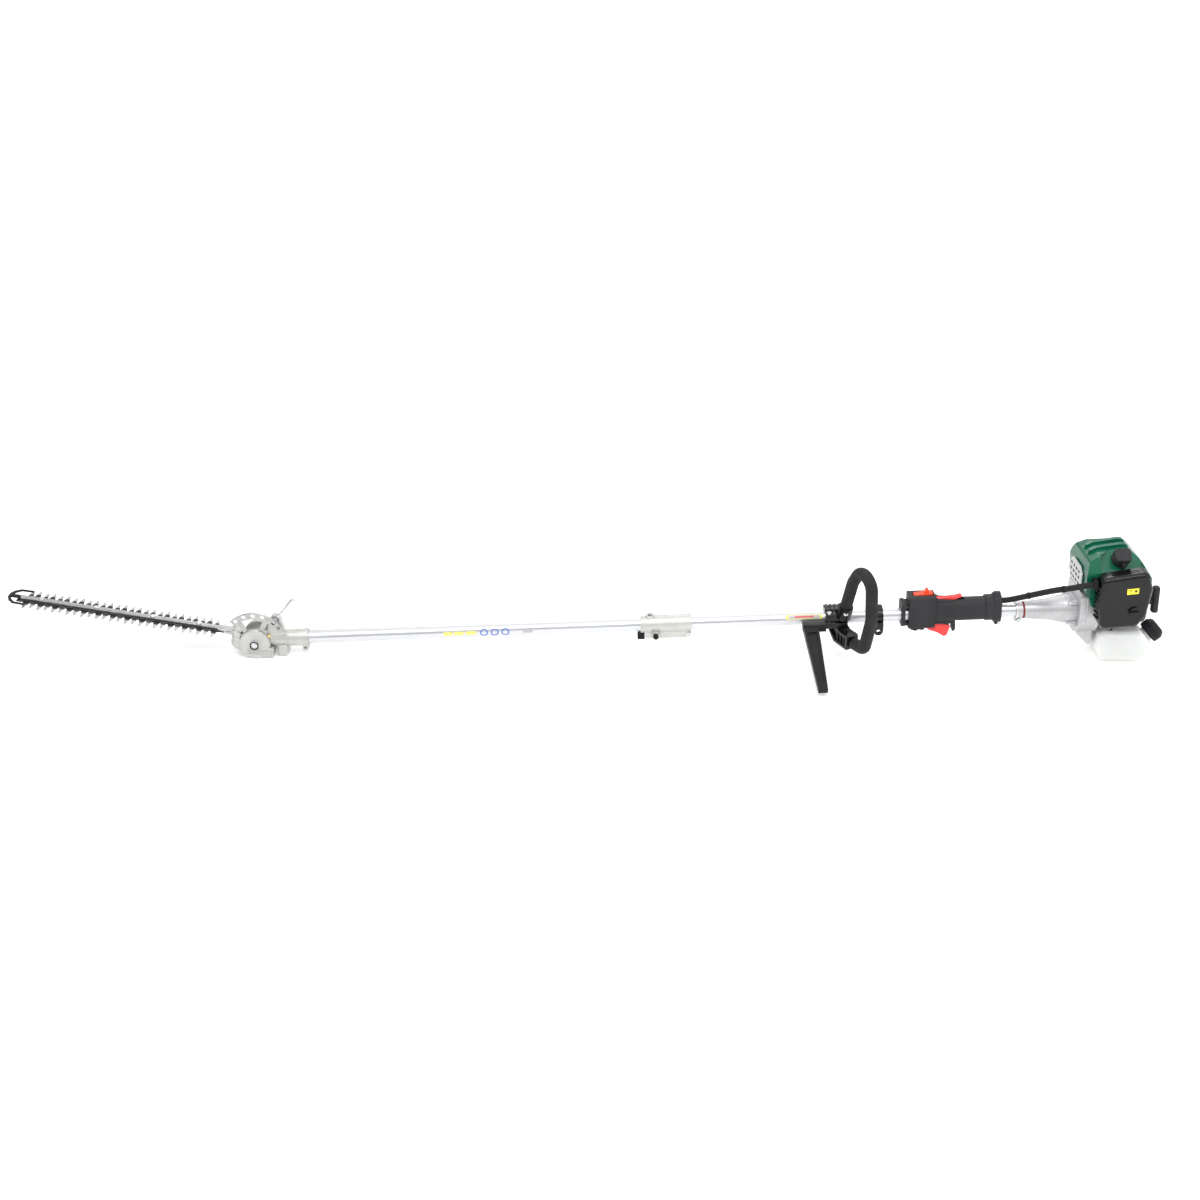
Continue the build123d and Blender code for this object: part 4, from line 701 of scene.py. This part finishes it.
def cable_run():
    """The ribbed cable sleeve in place of the plain bar, with its ties."""
    route = [(-208, 0, 22), (-194, 0, 22), (-166, -8, 32), (-138, -22, 45), (-112, -40, 59),
             (-90, -63, 72), (-74, -70, 79), (-50, -72, 82)]
    sleeve = hose("ribbed_sleeve", route, 6.1, 0.7, 3.2)
    piece = finish_piece("ribbed_sleeve", sleeve, TOOL, "power_unit", HOSE_RUBBER)
    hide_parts("cable_sleeve")
    path = smooth_path(route)
    profile = [(5.4, -1.8), (6.6, -1.8), (6.8, -1.3), (6.8, 1.3), (6.6, 1.8), (5.4, 1.8)]
    for i, share in enumerate((0.30, 0.66)):
        step = int(share * (len(path) - 1))
        at, after = path[step], path[step + 2]
        spin = (after - at).to_track_quat("Z", "Y").to_matrix().to_4x4()
        tie = lathe(f"sleeve_tie_{i}", profile)
        place = TOOL @ Matrix.Translation(at * MM) @ spin
        finish_piece(f"sleeve_tie_{i}", tie, place, "power_unit", BLACK_NYLON)


def grease_nipple():
    """The brass nipple on the pivot housing, close beside the cheek of the gearcase."""
    profile = [(0.0, 0.0), (4.2, 0.0), (4.2, 2.4), (3.0, 3.0), (2.4, 5.0), (3.1, 6.2),
               (2.6, 7.6), (1.0, 8.2), (0.0, 8.2)]
    spot = TOOL @ Matrix.Translation((-1.646, -0.0135, 0.0085))
    spot = spot @ Matrix.Rotation(math.radians(50), 4, "X")
    finish_piece("grease_nipple", lathe("grease_nipple", profile), spot, "attachment",
                 BRASS)


def pivot_details():
    """The dark ring round the pivot bolt's cap."""
    profile = [(6.3, 0.0), (8.8, 0.0), (8.8, 0.7), (8.4, 1.0), (6.7, 1.0), (6.3, 0.7)]
    finish_piece("pivot_ring", lathe("pivot_ring", profile), along_near(0, -31.9, 0, HEAD), "head",
                 BLACK_NYLON)


def filter_label():
    """The plain yellow label on the filter cover: a round mark, two bars and no lettering."""
    plate = prism("label_plate", [(3.5, 69), (25.5, 70.5), (25.5, 82), (3.5, 80.5)], -95.35, -95.0)
    finish_piece("label_plate", plate, TOOL, "filter_lid", YELLOW_FILM, 0.1)
    mark = lathe("label_mark", [(0.0, 0.0), (2.6, 0.0), (2.6, 0.12), (0.0, 0.12)], 24)
    finish_piece("label_mark", mark, along_near(20.0, -95.34, 76.0), "filter_lid",
                 BLACK_FILM)
    for i in range(2):
        z = 74.2 + 3.0 * i
        outline = [(6, z), (13, z + 0.4), (13, z + 1.5), (6, z + 1.1)]
        bar = prism(f"label_bar_{i}", outline, -95.46, -95.34)
        finish_piece(f"label_bar_{i}", bar, TOOL, "filter_lid", BLACK_FILM)


def plug_lead():
    """The thick ignition lead that bends from the plug cap into the cover."""
    route = [(3, -56.5, 119.5), (3, -61, 115.5), (3, -60.5, 110.5), (4, -54, 106.5),
             (4, -46, 104)]
    lead = hose("plug_lead", route, 3.4)
    finish_piece("plug_lead", lead, TOOL, "power_unit", HOSE_RUBBER)


shaft_films()
collar_rings()
cable_run()
grease_nipple()
pivot_details()
filter_label()
plug_lead()

# ------------------------------------------------------------------ floor, light and camera

WHITE = (1.0, 1.0, 1.0, 1.0)
FLOOR_HALF = 45.0
FLOOR_PLACE = (-1.0, 0, -0.0005)
SKY_RISE = (0.05, 0.75)
SKY_STRENGTH = (0.30, 1.15)

# name, place, point aimed at, width and depth, power in watts
LIGHTS = (
    ("key", (-1.6, -1.6, 2.6), (-0.9, 0, 0.1), (3.2, 1.2), 38.0),
    ("strip", (-0.25, -0.95, 2.0), (-0.25, 0, 0.12), (1.5, 0.10), 13.0),
    ("rim", (-0.6, 2.2, 1.8), (-0.9, 0, 0.1), (3.0, 0.8), 18.0),
    ("side", (2.2, -1.4, 1.2), (0.0, 0, 0.1), (1.2, 1.0), 14.0),
)

CAMERA_PLACE = (-0.993, -2.7836, 1.4122)
CAMERA_PITCH = math.radians(65.0)
CAMERA_LENS = 47.13
CAMERA_SENSOR = 36.0


def floor():
    """A plain pale floor that fades into the background."""
    half = FLOOR_HALF
    mesh = bpy.data.meshes.new("floor")
    corners = [(-half, -half, 0), (half, -half, 0), (half, half, 0), (-half, half, 0)]
    mesh.from_pydata(corners, [], [(0, 1, 2, 3)])
    look = Look("floor_paper", (0.86, 0.86, 0.86), 0.8)
    look.set(Emission_Strength=0.24, Emission_Color=WHITE, Specular_IOR_Level=0.1)
    look.mottle((0.84, 0.84, 0.845), 1.2, 0.3)
    look.bump(look.noise(500.0, 2.0), 0.01)
    mesh.materials.append(look.done())
    piece = bpy.data.objects.new("floor", mesh)
    piece.location = FLOOR_PLACE
    bpy.context.scene.collection.objects.link(piece)


def area_light(name, place, aim, size, power):
    """A white rectangular lamp turned towards a point."""
    data = bpy.data.lights.new(name, "AREA")
    data.shape = "RECTANGLE"
    data.size, data.size_y = size
    data.energy = power
    light = bpy.data.objects.new(name, data)
    light.location = place
    light.rotation_euler = (Vector(aim) - Vector(place)).to_track_quat("-Z", "Y").to_euler()
    bpy.context.scene.collection.objects.link(light)


def world():
    """A studio sky: dim at the horizon and bright overhead."""
    scene = bpy.context.scene
    scene.world = bpy.data.worlds.new("studio")
    scene.world.use_nodes = True
    tree = scene.world.node_tree
    back = tree.nodes["Background"]
    place = tree.nodes.new("ShaderNodeTexCoord")
    split = tree.nodes.new("ShaderNodeSeparateXYZ")
    rise = tree.nodes.new("ShaderNodeMapRange")
    tree.links.new(place.outputs["Generated"], split.inputs["Vector"])
    tree.links.new(split.outputs["Z"], rise.inputs["Value"])
    rise.inputs["From Min"].default_value, rise.inputs["From Max"].default_value = SKY_RISE
    rise.inputs["To Min"].default_value, rise.inputs["To Max"].default_value = SKY_STRENGTH
    tree.links.new(rise.outputs["Result"], back.inputs["Strength"])
    back.inputs["Color"].default_value = WHITE
    scene.view_settings.view_transform = "Standard"
    scene.view_settings.look = "None"


def camera():
    """The main view: from the near side, looking down on the tool as it lies on the floor."""
    data = bpy.data.cameras.new("camera")
    data.sensor_width = CAMERA_SENSOR
    data.lens = CAMERA_LENS
    made = bpy.data.objects.new("camera", data)
    made.location = CAMERA_PLACE
    made.rotation_euler = (CAMERA_PITCH, 0, 0)
    bpy.context.scene.collection.objects.link(made)
    bpy.context.scene.camera = made


floor()
world()
for lamp in LIGHTS:
    area_light(*lamp)
camera()
